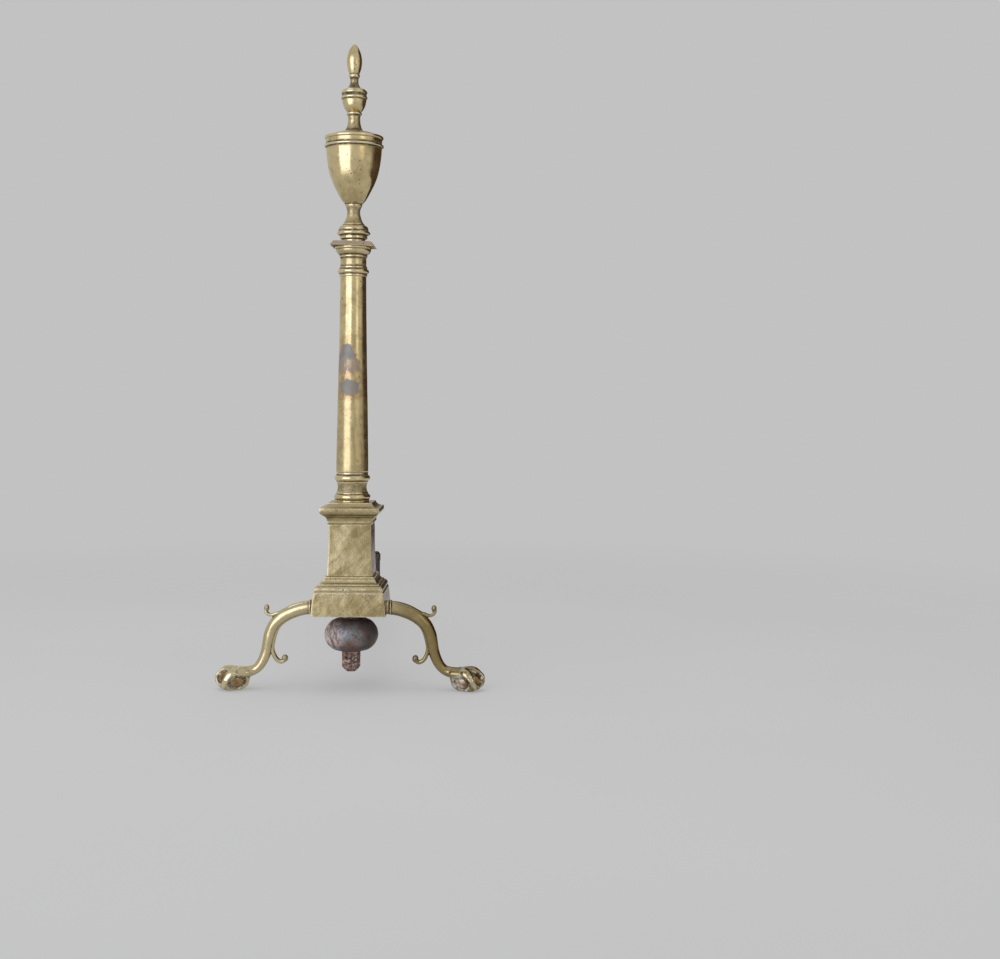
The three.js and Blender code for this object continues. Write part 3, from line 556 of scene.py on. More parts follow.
def square_ring(half, corner, sides, turn_steps=6):
    """Points round a square of the given half width with rounded corners, as x and y for
    each half width, and how much of a corner each one is."""
    half = half[:, None]
    radius = np.minimum(corner, half * 0.8)
    quarter = np.linspace(0, math.pi / 2, turn_steps + 1)
    run = np.linspace(-1, 1, sides + 1)[1:-1]
    straight = (half - radius) * run
    x = np.hstack([half + 0 * straight, half - radius + radius * np.cos(quarter)])
    y = np.hstack([straight, half - radius + radius * np.sin(quarter)])
    mark = np.concatenate([0 * run, np.sin(2 * quarter)])
    return np.hstack([x, -y, -x, y]), np.hstack([y, x, -y, -x]), np.tile(mark, 4)


def mitred(name, node, moves, spacing, sides, material=None, slot="cast_brass",
           corner=None, arris=None, ripple=None, cutter=None, droop=0.0):
    """A square piece with mitred mouldings round the column's axis.

    Formula: the outline's radius is half the side of a square with rounded corners; faces
    are moved in by random hills of the casting, and the front right corner hangs down by
    droop.
    """
    ripple = ripple or sizes().cast_ripple / MM
    line, bend = worn(outline(moves), arris or sizes().arris / MM, spacing, True)
    x, y, corners = square_ring(line[:, 0], corner or sizes().corner / MM, sides)
    points = np.stack([x, y, line[:, 1:] + 0 * x], axis=-1)
    low = hills(points, 11.0, 2.0) + 0.6 * hills(points, 4.5, 5.0) - 1.6
    reach = np.maximum(np.abs(x), np.abs(y))
    points[..., :2] *= (1 + ripple * low / np.maximum(reach, 5))[..., None]
    points[..., 2] -= droop * np.clip((x - y) / 48 - 0.35, 0, 1)
    outside = line[:, :1] > line[:, 0].max() * 0.5
    arrises = np.maximum(bend[:, None] / 0.8 + 0 * x, 0.8 * corners * outside)
    marks = edge_marks(arrises.ravel(), 1.0, 0.42)
    marks["edge"] **= 1.4
    mesh = make_mesh(name, *shell(on_axis(points, node), True), marks)
    obj = show(mesh, material or metal(cast_brass, "plinth_brass"))
    if cutter:
        carve(obj, cutter)
    return place(obj, node, slot)


# ------------------------------------------------------------------ materials


class Nodes:
    """Short hand for a material's nodes, with its colour and its normal so far."""

    def __init__(self, name, colour=None):
        self.material = bpy.data.materials.new(name)
        self.material.use_nodes = True
        self.tree = self.material.node_tree
        self.tree.nodes.clear()
        self.place = self.add("ShaderNodeTexCoord").outputs["Object"]
        self.colour = colour
        self.normal = None

    def add(self, kind, inputs=None, **settings):
        node = self.tree.nodes.new(kind)
        for key, value in settings.items():
            setattr(node, key, value)
        for key, value in (inputs or {}).items():
            socket = node.inputs[key]
            if hasattr(value, "is_output"):
                self.tree.links.new(value, socket)
            else:
                socket.default_value = (*value[:3], 1) if socket.type == "RGBA" else value
        return node

    def split(self, vector):
        return self.add("ShaderNodeSeparateXYZ", {"Vector": vector}).outputs

    def stretch(self, scale, location=(0, 0, 0), rotation=(0, 0, 0)):
        """The place seen through a scale on each axis, turned and moved."""
        return self.add("ShaderNodeMapping", {
            "Vector": self.place, "Scale": [1 / value for value in scale],
            "Location": location, "Rotation": rotation},
            vector_type="TEXTURE").outputs["Vector"]

    def moved(self, *location):
        return self.stretch((1, 1, 1), location)

    def noise(self, scale, detail=4.0, roughness=0.55, distortion=0.0, place=None):
        return self.add("ShaderNodeTexNoise", {
            "Vector": place or self.place, "Scale": scale, "Detail": detail,
            "Roughness": roughness, "Distortion": distortion}).outputs["Fac"]

    def cells(self, scale):
        """How far a place is from the nearest of many random points."""
        return self.add("ShaderNodeTexVoronoi", {
            "Vector": self.place, "Scale": scale}).outputs["Distance"]

    def mark(self, name):
        return self.add("ShaderNodeAttribute", attribute_name=name).outputs["Fac"]

    def band(self, value, low, high, out_low=0.0, out_high=1.0):
        """A smooth step from out_low at low to out_high at high."""
        return self.add("ShaderNodeMapRange", {
            "Value": value, "From Min": low, "From Max": high, "To Min": out_low,
            "To Max": out_high}, interpolation_type="SMOOTHSTEP").outputs["Result"]

    def math(self, operation, first, *others, clamp=False):
        """One operation with each of the others in turn."""
        for other in others or (0.0,):
            node = self.add("ShaderNodeMath", {0: first, 1: other},
                            operation=operation, use_clamp=clamp)
            first = node.outputs["Value"]
        return first

    def times(self, *values, clamp=False):
        return self.math("MULTIPLY", *values, clamp=clamp)

    def plus(self, *values, clamp=False):
        return self.math("ADD", *values, clamp=clamp)

    def less(self, *values, clamp=False):
        return self.math("SUBTRACT", *values, clamp=clamp)

    def most(self, *values):
        return self.math("MAXIMUM", *values)

    def size(self, value):
        return self.math("ABSOLUTE", value)

    def sway(self, width, *noise):
        """Noise about zero, of the given width."""
        return self.times(self.less(self.noise(*noise), 0.5), width)

    def along(self, axis, low, high, *out):
        """A smooth step along an axis of the andiron."""
        return self.band(self.split(self.place)[axis], low, high, *out)

    def way(self, axis):
        """How a surface faces along an axis, from -1 to 1."""
        return self.split(self.add("ShaderNodeNewGeometry").outputs["Normal"])[axis]

    def facing(self, axis, low, high):
        return self.band(self.way(axis), low, high)

    def underside(self, share):
        """Where a surface looks down: the mask of painted shade on undersides."""
        return self.band(self.plus(self.way("Z"), self.sway(0.5, 85, 3, 0.6)),
                         -0.25, -0.85, 0.0, share)

    def mix(self, share, a, b):
        return self.add("ShaderNodeMix", {"Factor": share, 6: a, 7: b},
                        data_type="RGBA").outputs[2]

    def coat(self, share, colour, strength=1.0):
        """Lays a colour over the one so far."""
        if strength != 1.0:
            share = self.times(share, strength)
        self.colour = self.mix(share, self.colour, colour)

    def bump(self, height, strength, distance):
        """Lays a relief over the one so far."""
        inputs = {"Strength": strength, "Distance": distance, "Height": height}
        if self.normal:
            inputs["Normal"] = self.normal
        self.normal = self.add("ShaderNodeBump", inputs).outputs["Normal"]

    def shader(self, roughness, metallic, specular=0.5):
        return self.output(self.add("ShaderNodeBsdfPrincipled", {
            "Base Color": self.colour, "Roughness": roughness, "Metallic": metallic,
            "Normal": self.normal, "Specular IOR Level": specular}))

    def either(self, share, a, b):
        """Two shaders mixed."""
        return self.add("ShaderNodeMixShader", {0: share, 1: a.outputs[0],
                                                2: b.outputs[0]})

    def output(self, shader):
        self.add("ShaderNodeOutputMaterial", {"Surface": shader.outputs[0]})
        return self.material


# Colours of single marks and films, beside those in the settings.
# Worn edges of turned, cast and sheet brass painted near-white: wear, and painted highlights.
TURNED_WORN_EDGE_HIGHLIGHT = (0.97, 0.88, 0.62)
CAST_WORN_EDGE_HIGHLIGHT = (0.96, 0.86, 0.60)
SHEET_WORN_EDGE_HIGHLIGHT = (0.95, 0.86, 0.62)
IRON_EDGE = (0.26, 0.21, 0.18)
STAIN_HAZE = (0.46, 0.27, 0.14)
STAIN_GREY = (0.225, 0.222, 0.218)
STAIN_WARM = (0.40, 0.28, 0.20)
CAST_LIGHT = (0.74, 0.63, 0.37)
CAST_TOP_PAINTED_LIGHT = (0.76, 0.65, 0.42)
PLINTH_SIDE_SHADE = (0.20, 0.105, 0.075)
LEG_SIDE_SHADE = (0.17, 0.115, 0.05)
LEG_LEFT_PAINTED_LIGHT = (0.80, 0.69, 0.42)
LEG_RIGHT_PAINTED_SHADE = (0.31, 0.225, 0.09)
FOOT_BROWN = (0.22, 0.14, 0.065)
SHEET_BRASS = (0.88, 0.76, 0.58)
SHEET_FILM = (0.58, 0.46, 0.36)
RUST_CRUST = (0.80, 0.58, 0.47)
IRON_SCALE = (0.014, 0.010, 0.008)
SOOT = (0.022, 0.018, 0.016)
BALL_SCUFF = (0.42, 0.40, 0.39)
BALL_SCUFF_AND_LIGHT = (0.78, 0.68, 0.63)
BALL_PIT = (0.022, 0.016, 0.014)
BALL_SHADE = (0.045, 0.030, 0.024)
BALL_UNDER_SHADE = (0.035, 0.022, 0.018)
CARD_BROWN = (0.085, 0.055, 0.032)


def turned_brass(name, stain=False):
    """Satin brass off the lathe: fine rings, a soft olive film, dark grooves of blackened
    polish and painted shade, painted shade on undersides, and worn edges painted
    near-white as highlights.
    """
    m = metals()
    n = Nodes(name, m.brass)
    n.coat(n.band(n.noise(46, 6, 0.62, 0.6), 0.46, 0.66), m.tarnish_and_shade, 0.42)
    n.coat(n.band(n.noise(170, 5, 0.68, 0.3), 0.50, 0.66), m.tarnish_and_shade, 0.30)
    n.coat(n.times(n.band(n.cells(230), 0.22, 0.12), n.band(n.noise(45, 2), 0.50, 0.62)),
           m.grime_and_shade, 0.75)
    # painted shade on the undersides
    n.coat(n.underside(0.6), m.tarnish_and_shade)
    rough = n.band(n.noise(60, 5, 0.65), 0.35, 0.7, 0.13, 0.31)
    burnt = 0.0
    if stain:
        burnt = heat_stain(n)
        rough = n.plus(rough, n.times(burnt, 0.25), clamp=True)
        rough = n.plus(rough, n.along("Z", 0.43, 0.28, 0.0, 0.11))
    # dark grooves: blackened polish, and painted shade in the hollows
    ragged = n.band(n.noise(260, 4, 0.7), 0.3, 0.75, 0.6, 1.25)
    groove_dirt_and_shade = n.times(n.mark("groove"), ragged, clamp=True)
    n.coat(groove_dirt_and_shade, m.grime_and_shade)
    # worn edges painted near-white: wear and a painted highlight
    n.coat(n.mark("edge"), TURNED_WORN_EDGE_HIGHLIGHT, 0.75)
    rough = n.plus(rough, n.times(groove_dirt_and_shade, 0.35), clamp=True)
    n.bump(n.noise(1.0, 3, 0.6, 0.0, n.stretch((60, 60, 2600))), 0.10, 0.00012)
    n.bump(n.noise(80, 3, 0.5), 0.14, 0.0009)
    n.bump(n.noise(900, 3, 0.6), 0.05, 0.0001)
    metallic = n.less(1.0, n.times(groove_dirt_and_shade, 0.6))
    return n.shader(rough, n.less(metallic, n.times(burnt, 0.6), clamp=True))


def heat_stain(n):
    """A grey-violet bloom on the column's front: a flame shape over a lower cloud, with a
    rusty haze about them, an olive film lower down, and brown runs low on the right that
    are a painted reflection. Gives how burnt a place is."""
    m = metals()
    x, y, z = n.split(n.place)
    z = n.plus(z, n.sway(0.013, 170, 5, 0.66, 0.0, n.moved(4, 1, 2)))
    x = n.plus(n.less(x, AXIS[0] - 0.0048), n.sway(0.010, 190, 5, 0.62))
    half = n.times(n.math("SQRT", n.most(n.less(0.3785, z), 0.0)), 0.0813)
    inside = n.less(half, n.size(x))
    flame = n.times(n.band(inside, -0.0004, 0.0010), n.band(z, 0.3460, 0.3480))
    rim = n.times(n.band(inside, -0.0030, 0.0), n.band(z, 0.3430, 0.3460))
    across, up = (n.math("POWER", n.math("DIVIDE", n.size(n.less(value, centre)), reach), 3.0)
                  for value, centre, reach in ((x, 0.0028, 0.0108), (z, 0.3302, 0.0078)))
    away = n.plus(across, up)
    cloud = n.band(away, 1.25, 0.70)
    front = n.band(y, AXIS[1] + 0.002, AXIS[1] - 0.003)
    streaky = n.noise(1.0, 4, 0.65, 0.3, n.stretch((380, 380, 110)))
    low_flame = n.times(n.band(z, 0.366, 0.354), n.band(z, 0.340, 0.346))
    thin = n.times(n.band(streaky, 0.42, 0.60), low_flame, 0.6)
    burnt = n.times(n.most(flame, cloud), front, n.less(1.0, thin))
    left = n.times(n.band(x, 0.002, -0.007), n.band(z, 0.312, 0.325),
                   n.band(z, 0.372, 0.360))
    haze = n.times(n.most(n.band(away, 9.0, 1.0), rim, left), front,
                   n.band(n.noise(140, 4), 0.30, 0.55))
    n.coat(haze, STAIN_HAZE, 0.62)
    tint = n.mix(n.band(n.noise(150, 4, 0.6), 0.35, 0.65), m.heat, STAIN_GREY)
    tint = n.mix(n.times(low_flame, 0.55), tint, STAIN_WARM)
    n.coat(burnt, tint, 0.95)
    low = n.band(z, 0.36, 0.27)
    n.coat(low, m.tarnish_and_shade, 0.28)
    # brown runs low on the right of the column: a painted reflection
    streaks = n.band(n.noise(1.0, 4, 0.6, 0.3, n.stretch((260, 260, 16))), 0.50, 0.66)
    n.coat(n.times(streaks, low, n.band(x, -0.004, 0.012)), m.tarnish_and_shade, 0.7)
    return burnt


def painted_side_shade(n):
    """The right side and the back, painted dark brown: painted shade."""
    side, back = n.facing("X", 0.45, 0.85), n.facing("Y", 0.45, 0.85)
    return n.times(n.most(n.times(side, 0.80), n.times(back, 0.55)),
                   n.band(n.noise(60, 5, 0.65), 0.3, 0.6, 0.65, 1.0))


def cast_brass(name, pitted=1.0, foot=False):
    """Cast brass: pits, bright specks, scratches, blotches, dark grooves of blackened polish
    and painted shade, worn arrises painted near-white as highlights, painted shade on
    undersides, on the plinth's right side and back and on the legs' sides, painted light on
    upward faces, and painted light on the left leg with painted shade on the right one.
    """
    m = metals()
    n = Nodes(name, m.cast_brass)
    slanted = n.stretch((17, 26, 44), (0, 0, 0.05), (0, -0.6, 0))
    n.coat(n.band(n.noise(1.0, 3, 0.5, 0.8, slanted), 0.46, 0.64), CAST_LIGHT, 0.55)
    slanted = n.stretch((16, 30, 85), rotation=(0, -0.7, 0))
    n.coat(n.band(n.noise(1.0, 4, 0.55, 0.6, slanted), 0.48, 0.64), m.tarnish_and_shade, 0.62)
    n.coat(n.band(n.noise(230, 5, 0.7, 0.4), 0.50, 0.64), m.tarnish_and_shade, 0.15)
    # painted light on upward faces
    n.coat(n.facing("Z", 0.15, 0.6), CAST_TOP_PAINTED_LIGHT, 0.5)
    # painted shade on the undersides
    n.coat(n.underside(0.75 if foot else 0.5), m.grime_and_shade)
    if foot:
        # painted shade on the legs' sides
        n.coat(n.most(n.times(n.facing("X", 0.2, 0.7), 0.85),
                      n.times(n.facing("X", -0.5, -0.95), 0.75)), LEG_SIDE_SHADE)
    else:
        # painted shade on the right side and the back
        n.coat(painted_side_shade(n), PLINTH_SIDE_SHADE)
    low_down = n.along("Z", 0.128, 0.118)
    pits = n.times(n.band(n.cells(210), 0.30, 0.16),
                   n.band(n.noise(70, 4, 0.6), 0.60, 0.68))
    pits = n.times(n.most(pits, n.band(n.cells(105), 0.11, 0.07)),
                   n.band(low_down, 0.0, 1.0, 0.25, 0.7))
    n.coat(pits, m.grime_and_shade, 0.80 * pitted)
    few = n.band(n.noise(52, 3, 0.6, 0.0, n.moved(9, 2, 4)), 0.62, 0.68)
    specks = n.band(n.noise(420, 4, 0.62, 0.8, n.moved(3, 5, 7)), 0.635, 0.67)
    worm = n.noise(1.0, 2, 0.5, 2.2, n.stretch((120, 120, 150), (2, 6, 3), (0, 0.9, 0)))
    worms = n.times(n.band(n.size(n.less(worm, 0.5)), 0.014, 0.006),
                    n.band(n.noise(75, 2, 0.5, 0.0, n.moved(1, 8, 3)), 0.53, 0.60))
    pale = n.times(n.most(specks, worms), n.most(few, low_down))
    n.coat(pale, m.residue, 0.62 * pitted)
    if foot:
        # painted light on the left leg and painted shade, in blotches, on the right leg
        n.coat(n.along("X", -0.02, -0.06), LEG_LEFT_PAINTED_LIGHT, 0.6)
        n.coat(n.times(n.along("X", 0.025, 0.07),
                       n.band(n.noise(55, 4, 0.6), 0.25, 0.6, 0.45, 0.80)), LEG_RIGHT_PAINTED_SHADE)
        n.coat(n.mark("ball"), n.mix(n.band(n.noise(150, 5, 0.7, 0.3), 0.42, 0.62),
                                     m.copper, FOOT_BROWN))
    # dark grooves: blackened polish, and painted shade in the hollows
    groove_dirt_and_shade = n.times(n.mark("groove"), n.band(n.noise(300, 5, 0.7), 0.28, 0.72, 0.5, 1.5),
                   clamp=True)
    n.coat(groove_dirt_and_shade, m.grime_and_shade)
    if foot:
        smear = n.band(n.noise(190, 5, 0.68, 0.3, n.moved(2, 7, 5)), 0.50, 0.60)
        chalky = n.times(n.along("X", 0.108, 0.112), n.along("X", 0.127, 0.121),
                         n.most(n.mark("ball"), n.mark("rim")),
                         n.band(n.noise(240, 5, 0.7), 0.42, 0.54), 0.75)
        whiten = n.most(n.times(smear, n.mark("rim")), chalky)
        n.coat(whiten, m.residue, 0.9)
        groove_dirt_and_shade = n.most(groove_dirt_and_shade, whiten)
    # worn arrises painted near-white: wear and a painted highlight
    bright = n.times(n.mark("edge"), n.band(n.noise(210, 4, 0.7), 0.32, 0.62, 0.5, 1.4),
                     clamp=True)
    n.coat(bright, CAST_WORN_EDGE_HIGHLIGHT)
    smooth, dull = (0.11, 0.29) if foot else (0.20, 0.34)
    rough = n.band(n.noise(110, 5, 0.65), 0.35, 0.7, smooth, dull)
    rough = n.less(rough, n.times(bright, 0.12), clamp=True)
    rough = n.plus(rough, n.times(groove_dirt_and_shade, 0.3), n.times(pale, 0.2 * pitted), clamp=True)
    n.bump(n.noise(100, 3, 0.55), 0.22, 0.0012)
    n.bump(n.noise(600, 5, 0.7), 0.10, 0.00025)
    n.bump(n.less(1.0, pits), 0.7 * pitted, 0.0005)
    return n.shader(rough, n.less(1.0, n.times(groove_dirt_and_shade, 0.75)))


def sheet_brass(name):
    """Thin hammered sheet with a brown film, dark grooves of blackened polish and painted
    shade, painted shade on undersides, and worn edges painted near-white as highlights.
    """
    m = metals()
    n = Nodes(name, SHEET_BRASS)
    n.coat(n.band(n.noise(55, 5, 0.6, 0.5), 0.38, 0.62, 0.25, 0.9), SHEET_FILM)
    n.coat(n.band(n.cells(230), 0.24, 0.12), m.grime_and_shade, 0.7)
    # painted shade on the undersides
    n.coat(n.underside(0.6), m.grime_and_shade)
    broken = n.band(n.noise(180, 4, 0.7), 0.35, 0.6, 0.3, 1.0)
    # worn edges painted near-white: wear and a painted highlight
    n.coat(n.times(n.mark("edge"), broken), SHEET_WORN_EDGE_HIGHLIGHT)
    # dark grooves: blackened polish and painted shade
    n.coat(n.mark("groove"), m.grime_and_shade, 0.9)
    n.bump(n.noise(90, 3), 0.4, 0.0012)
    n.bump(n.noise(500, 4), 0.25, 0.0002)
    return n.shader(n.band(n.noise(120, 4), 0.3, 0.7, 0.28, 0.44), 1.0)


def wrought_iron(name, rusty=1.0):
    """Forged iron: brown rust over grey scale, pits and a few pinkish crusts."""
    m = metals()
    n = Nodes(name, m.iron)
    n.coat(n.band(n.noise(95, 7, 0.72, 0.8), 0.44, 0.60), m.rust, rusty)
    n.coat(n.band(n.noise(280, 6, 0.78, 0.6), 0.50, 0.58), RUST_CRUST, 0.75 * rusty)
    flakes = n.band(n.noise(240, 5, 0.7, 0.3, n.moved(5, 3, 8)), 0.55, 0.64)
    n.coat(flakes, IRON_SCALE, 0.85)
    n.coat(n.mark("edge"), IRON_EDGE, 0.35 * rusty)
    if rusty < 0.5:
        n.coat(n.band(n.noise(30, 4), 0.3, 0.6, 0.5, 0.85), SOOT)
    n.bump(n.noise(190, 6, 0.7), 0.75, 0.0014)
    n.bump(n.noise(900, 4, 0.7), 0.4, 0.0003)
    return n.shader(n.band(n.noise(150, 5, 0.7), 0.3, 0.7, 0.5, 0.8), 0.35 * rusty,
                    0.2 + 0.3 * rusty)


def ball_iron(name):
    """The ball's worn iron: bluish grey with light scuffs, brown rust in broad clouds, pale
    scuffs on the front left that are painted light as well as wear, and painted shade on
    the right and underneath.
    """
    m = metals()
    n = Nodes(name, m.ball_iron)
    n.coat(n.band(n.noise(40, 6, 0.66, 0.9), 0.44, 0.60), m.rust, 0.9)
    streaks = n.noise(1.0, 6, 0.72, 0.6, n.stretch((120, 120, 80)))
    n.coat(n.band(streaks, 0.52, 0.64), BALL_SCUFF, 0.42)
    n.coat(n.along("X", -0.008, -0.022), m.rust, 0.55)
    # pale scuffs only on the front left: wear and painted light
    scuffs = n.noise(1.0, 6, 0.72, 0.5, n.stretch((150, 150, 75)))
    n.coat(n.times(n.along("X", -0.002, -0.018), n.facing("Y", 0.3, -0.4),
                   n.band(scuffs, 0.40, 0.56)), BALL_SCUFF_AND_LIGHT, 0.8)
    n.coat(n.band(n.noise(260, 5, 0.74, 0.4), 0.52, 0.62), BALL_PIT, 0.5)
    n.coat(n.along("X", 0.004, 0.024), BALL_SHADE, 0.75)
    # painted shade underneath
    n.coat(n.underside(0.7), BALL_UNDER_SHADE)
    n.bump(n.noise(75, 5, 0.6), 0.5, 0.0018)
    n.bump(n.noise(500, 5, 0.7), 0.35, 0.0004)
    return n.shader(n.band(n.noise(130, 5, 0.65), 0.3, 0.7, 0.36, 0.58), 0.35)


def metal(kind, name, **options):
    """The named material, made once."""
    return bpy.data.materials.get(name) or kind(name, **options)


# ------------------------------------------------------------------ column and plinth


class ANDIRON_OT_finial(bpy.types.Operator):
    """Turns the acorn and the small urn under it"""

    bl_idname = "andiron.finial"
    bl_label = "Finial"

    def execute(self, context):
        turned("acorn", "acorn_finial", [
            (0, 0), (2.4, 0), (2.4, 8.0), (12.6, 8.0), (12.6, 8.9),
            [(9.2, 10.1), (6.4, 12.2), (4.9, 15.2), (4.5, 18.6), (4.6, 21.9)],
            (5.2, 22.5), (5.2, 26.4, 0.85), (5.5, 26.5),
            [(6.5, 29.2), (7.6, 33.2), (8.3, 38.2), (8.25, 42.4), (7.7, 46.4),
             (6.6, 50.4), (5.0, 54.0), (3.2, 56.8), (1.5, 58.7), (0, 59.3)],
        ], 0.3, 80, closed=False)
        turned("little_urn", "small_urn", [
            (BORE, 0), (7.2, 0), [(8.9, 1.7), (11.2, 5.4), (12.7, 9.8), (13.5, 14.6)],
            (13.5, 17.8, 1.0), (13.5, 20.2), (13.5, 23.6, 0.85), (2.8, 23.8),
            (2.8, 11.4), (BORE, 11.3),
        ], 0.3, 96)
        return {"FINISHED"}


class ANDIRON_OT_urn(bpy.types.Operator):
    """Turns the urn's lid, bowl and foot"""

    bl_idname = "andiron.urn"
    bl_label = "Urn"

    def execute(self, context):
        turned("urn_cover", "urn_lid", [
            (BORE, 0), (28.4, 0), (28.5, 3.0), (30.8, 3.0), (30.8, 6.6, 1.6),
            (27.9, 6.9), (11.8, 11.5, 0.9),
            [(9.2, 14.2), (7.4, 19.0), (6.6, 24.8), (7.0, 30.0)],
            (7.0, 33.0, 1.6), (BORE, 33.0),
        ], 0.4, 128)
        turned("urn_bowl", "urn_body", [
            (BORE, 0), (9.3, 0), (9.4, 2.2),
            [(10.6, 3.2), (14.0, 7.6), (18.2, 15.2), (22.9, 24.7), (26.3, 34.2),
             (28.6, 44.7), (30.0, 55.0), (30.7, 64.5)],
            (30.8, 67.0, 2.0), (30.8, 73.0), (28.7, 73.0), (28.7, 64.6),
            [(26.6, 44.7), (20.9, 24.7), (12.0, 8.5), (BORE, 5.0)],
        ], 0.42, 136)
        turned("urn_stand", "urn_foot", [
            (BORE, 0), (12.8, 0), (12.8, 3.0), (15.1, 3.4), (15.1, 7.5), (17.4, 7.7),
            (17.8, 10.8, 0.8), (16.5, 11.9), (16.3, 12.7), (13.2, 17.8, 1.1),
            (12.2, 18.0), (12.1, 19.2),
            [(10.4, 21.2), (8.6, 25.2), (7.3, 30.2), (7.2, 34.0), (8.0, 37.2), (9.2, 39.4)],
            (BORE, 39.4),
        ])
        return {"FINISHED"}


class ANDIRON_OT_capital(bpy.types.Operator):
    """Makes the capital and its thin square abacus"""

    bl_idname = "andiron.capital"
    bl_label = "Capital"

    def execute(self, context):
        turned("capital_turned", "capital", [
            (BORE, 0), (12.1, 0), (12.1, 5.0), (15.2, 5.0), (15.2, 7.9),
            (15.2, 12.9, 2.0), (15.2, 15.6), (14.2, 15.7), (14.2, 25.7), (15.3, 25.9),
            (15.3, 28.8), (19.3, 34.8, 1.2), (19.6, 35.1), (19.6, 38.6, 0.6),
            (16.0, 38.8), (16.0, 41.7), (BORE, 41.7),
        ])
        mitred("abacus_sheet", "abacus", [
            (5.4, 4.1), (19.4, 4.1), (23.2, 0.15), (24.1, 0.1), (20.2, 5.2), (5.4, 5.2),
        ], 0.4, 30, metal(sheet_brass, "abacus_brass"), "sheet_brass", corner=0.5,
            arris=0.2, ripple=0.16, droop=1.8)
        return {"FINISHED"}


class ANDIRON_OT_column(bpy.types.Operator):
    """Turns the tapering column and its base"""

    bl_idname = "andiron.column"
    bl_label = "Column"

    def execute(self, context):
        turned("column", "column_shaft", [
            (15.8, 0), (17.58, 0), (17.55, 12.0),
            [(16.65, 66.0), (15.8, 108.0), (14.75, 171.0), (14.3, 215.0)],
            (12.5, 215.0), [(14.0, 108.0), (15.8, 12.0)],
        ], 1.1, 120, metal(turned_brass, "column_brass", stain=True), ripple=0.05)
        turned("column_mouldings", "column_base", [
            (BORE, 0), (18.6, 0), (18.6, 2.5), (18.6, 8.1, 1.4), (17.7, 8.3), (17.6, 9.6),
            (17.3, 21.7, -1.75), (17.4, 22.8), (17.4, 29.2, 2.1), (17.3, 29.4),
            (17.3, 32.2), (15.4, 32.3), (15.4, 37.3), (BORE, 37.3),
        ], segments=112)
        return {"FINISHED"}


class ANDIRON_OT_plinth(bpy.types.Operator):
    """Casts the plinth's cap, die and base"""

    bl_idname = "andiron.plinth"
    bl_label = "Plinth"

    def execute(self, context):
        mitred("plinth_top", "plinth_cap", [
            (19.2, 0), (24.3, 0), (24.4, 1.5), (25.2, 1.6), (27.7, 9.0, -1.2),
            (28.6, 9.2), (28.6, 10.0), (32.8, 16.5, 1.5), (32.8, 18.1), (24.6, 22.3, -1.5),
            (24.3, 22.5), (24.3, 23.7), (5.3, 23.7), (5.3, 19.7), (19.2, 19.7),
        ], 0.45, 30)
        mitred("plinth_shaft", "plinth_die", [
            (21.2, 0), (25.1, 0), (23.2, 56.2, -0.4), (19.2, 56.2),
        ], 0.7, 34)
        bar_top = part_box("billet_bar")[1].z / MM + 0.3
        notch = block("notch", (-9.8, 24.0, bar_top - 12.0), (9.8, 64.0, bar_top),
                      along_bar, metal(cast_brass, "plinth_brass"))
        mitred("plinth_foot", "plinth_base", [
            (35.0, 0), (40.7, 0), (38.1, 25.3), (36.9, 26.2), (34.9, 32.4, 1.1),
            (33.5, 32.7), (33.2, 34.2), (28.6, 39.0, -1.3), (27.6, 39.2), (27.6, 41.7),
            (21.2, 41.7), (31.0, 20.0), (35.0, 20.0),
        ], 0.5, 40, cutter=notch)
        return {"FINISHED"}


# ------------------------------------------------------------------ legs

# The leg in its own plane: x out from the column's axis, z above the floor, in mm.
LIMB = [
    (39.5, 90.5), (49.0, 89.6), (61.0, 86.2), (73.0, 80.4), (81.9, 72.2), (86.4, 63.0),
    (88.8, 53.3), (91.5, 40.3), (95.6, 30.4), (101.4, 23.2), (108.6, 19.8), (117.5, 18.6),
    (126.0, 17.0),
]
THICKNESS = [(0, 14.4), (0.22, 13.8), (0.42, 12.6), (0.58, 10.9), (0.76, 9.7), (0.86, 11.0),
             (1, 14.0)]
WIDTH = [(0, 14.4), (0.25, 14.6), (0.45, 12.4), (0.6, 11.2), (0.76, 10.6), (0.88, 14.0),
         (1, 19.5)]
KEEL = [(0, 0), (0.3, 0.2), (0.5, 1.0), (0.85, 0.9), (1, 0)]
ROOT_HEIGHT = 90.5
ACROSS = (0, 1, 0)
BALL = np.array([128.4, 0.0, 11.9])
BALL_RADII = np.array([15.5, 12.9, 11.0])
LEAN = math.radians(24)  # of the claw's pole, towards the ankle
POLE = np.array([-math.sin(LEAN), 0.0, math.cos(LEAN)])
OUTWARD = np.array([math.cos(LEAN), 0.0, math.sin(LEAN)])
TALONS = np.radians([0.0, 76.0, -76.0, 180.0])
WINDOWS = ((38.0, 25.0), (-38.0, 25.0), (126.0, 40.0), (-126.0, 40.0))
WINDOW_MIDDLE, WINDOW_HALF = 94.0, 42.0  # down from the pole, in degrees
CLAW_THICKNESS = 2.7
MEAN_BALL_RADIUS = 14.5
KNOBS = (((91.3, 0.0, 89.2), (2.9, 3.3, 4.0)), ((71.2, 0.0, 34.4), (3.5, 3.8, 4.2)))


def upright(line):
    """Pairs of x and z as points in the leg's plane."""
    line = np.asarray(line, float)
    return np.stack([line[:, 0], 0 * line[:, 0], line[:, 1]], axis=-1)


def limb_path():
    """Points down the limb's middle line, and the share of the way at each."""
    path = spline(upright(LIMB), 9)
    return path, np.linspace(0, 1, len(path))


def leg_limb():
    """The cabriole limb: rings about a smooth line, with a low keel on the outer side."""
    path, t = limb_path()
    return capped(rings_along(path, between(t, THICKNESS), between(t, WIDTH), ACROSS, 44,
                              2.05, between(t, KEEL)))


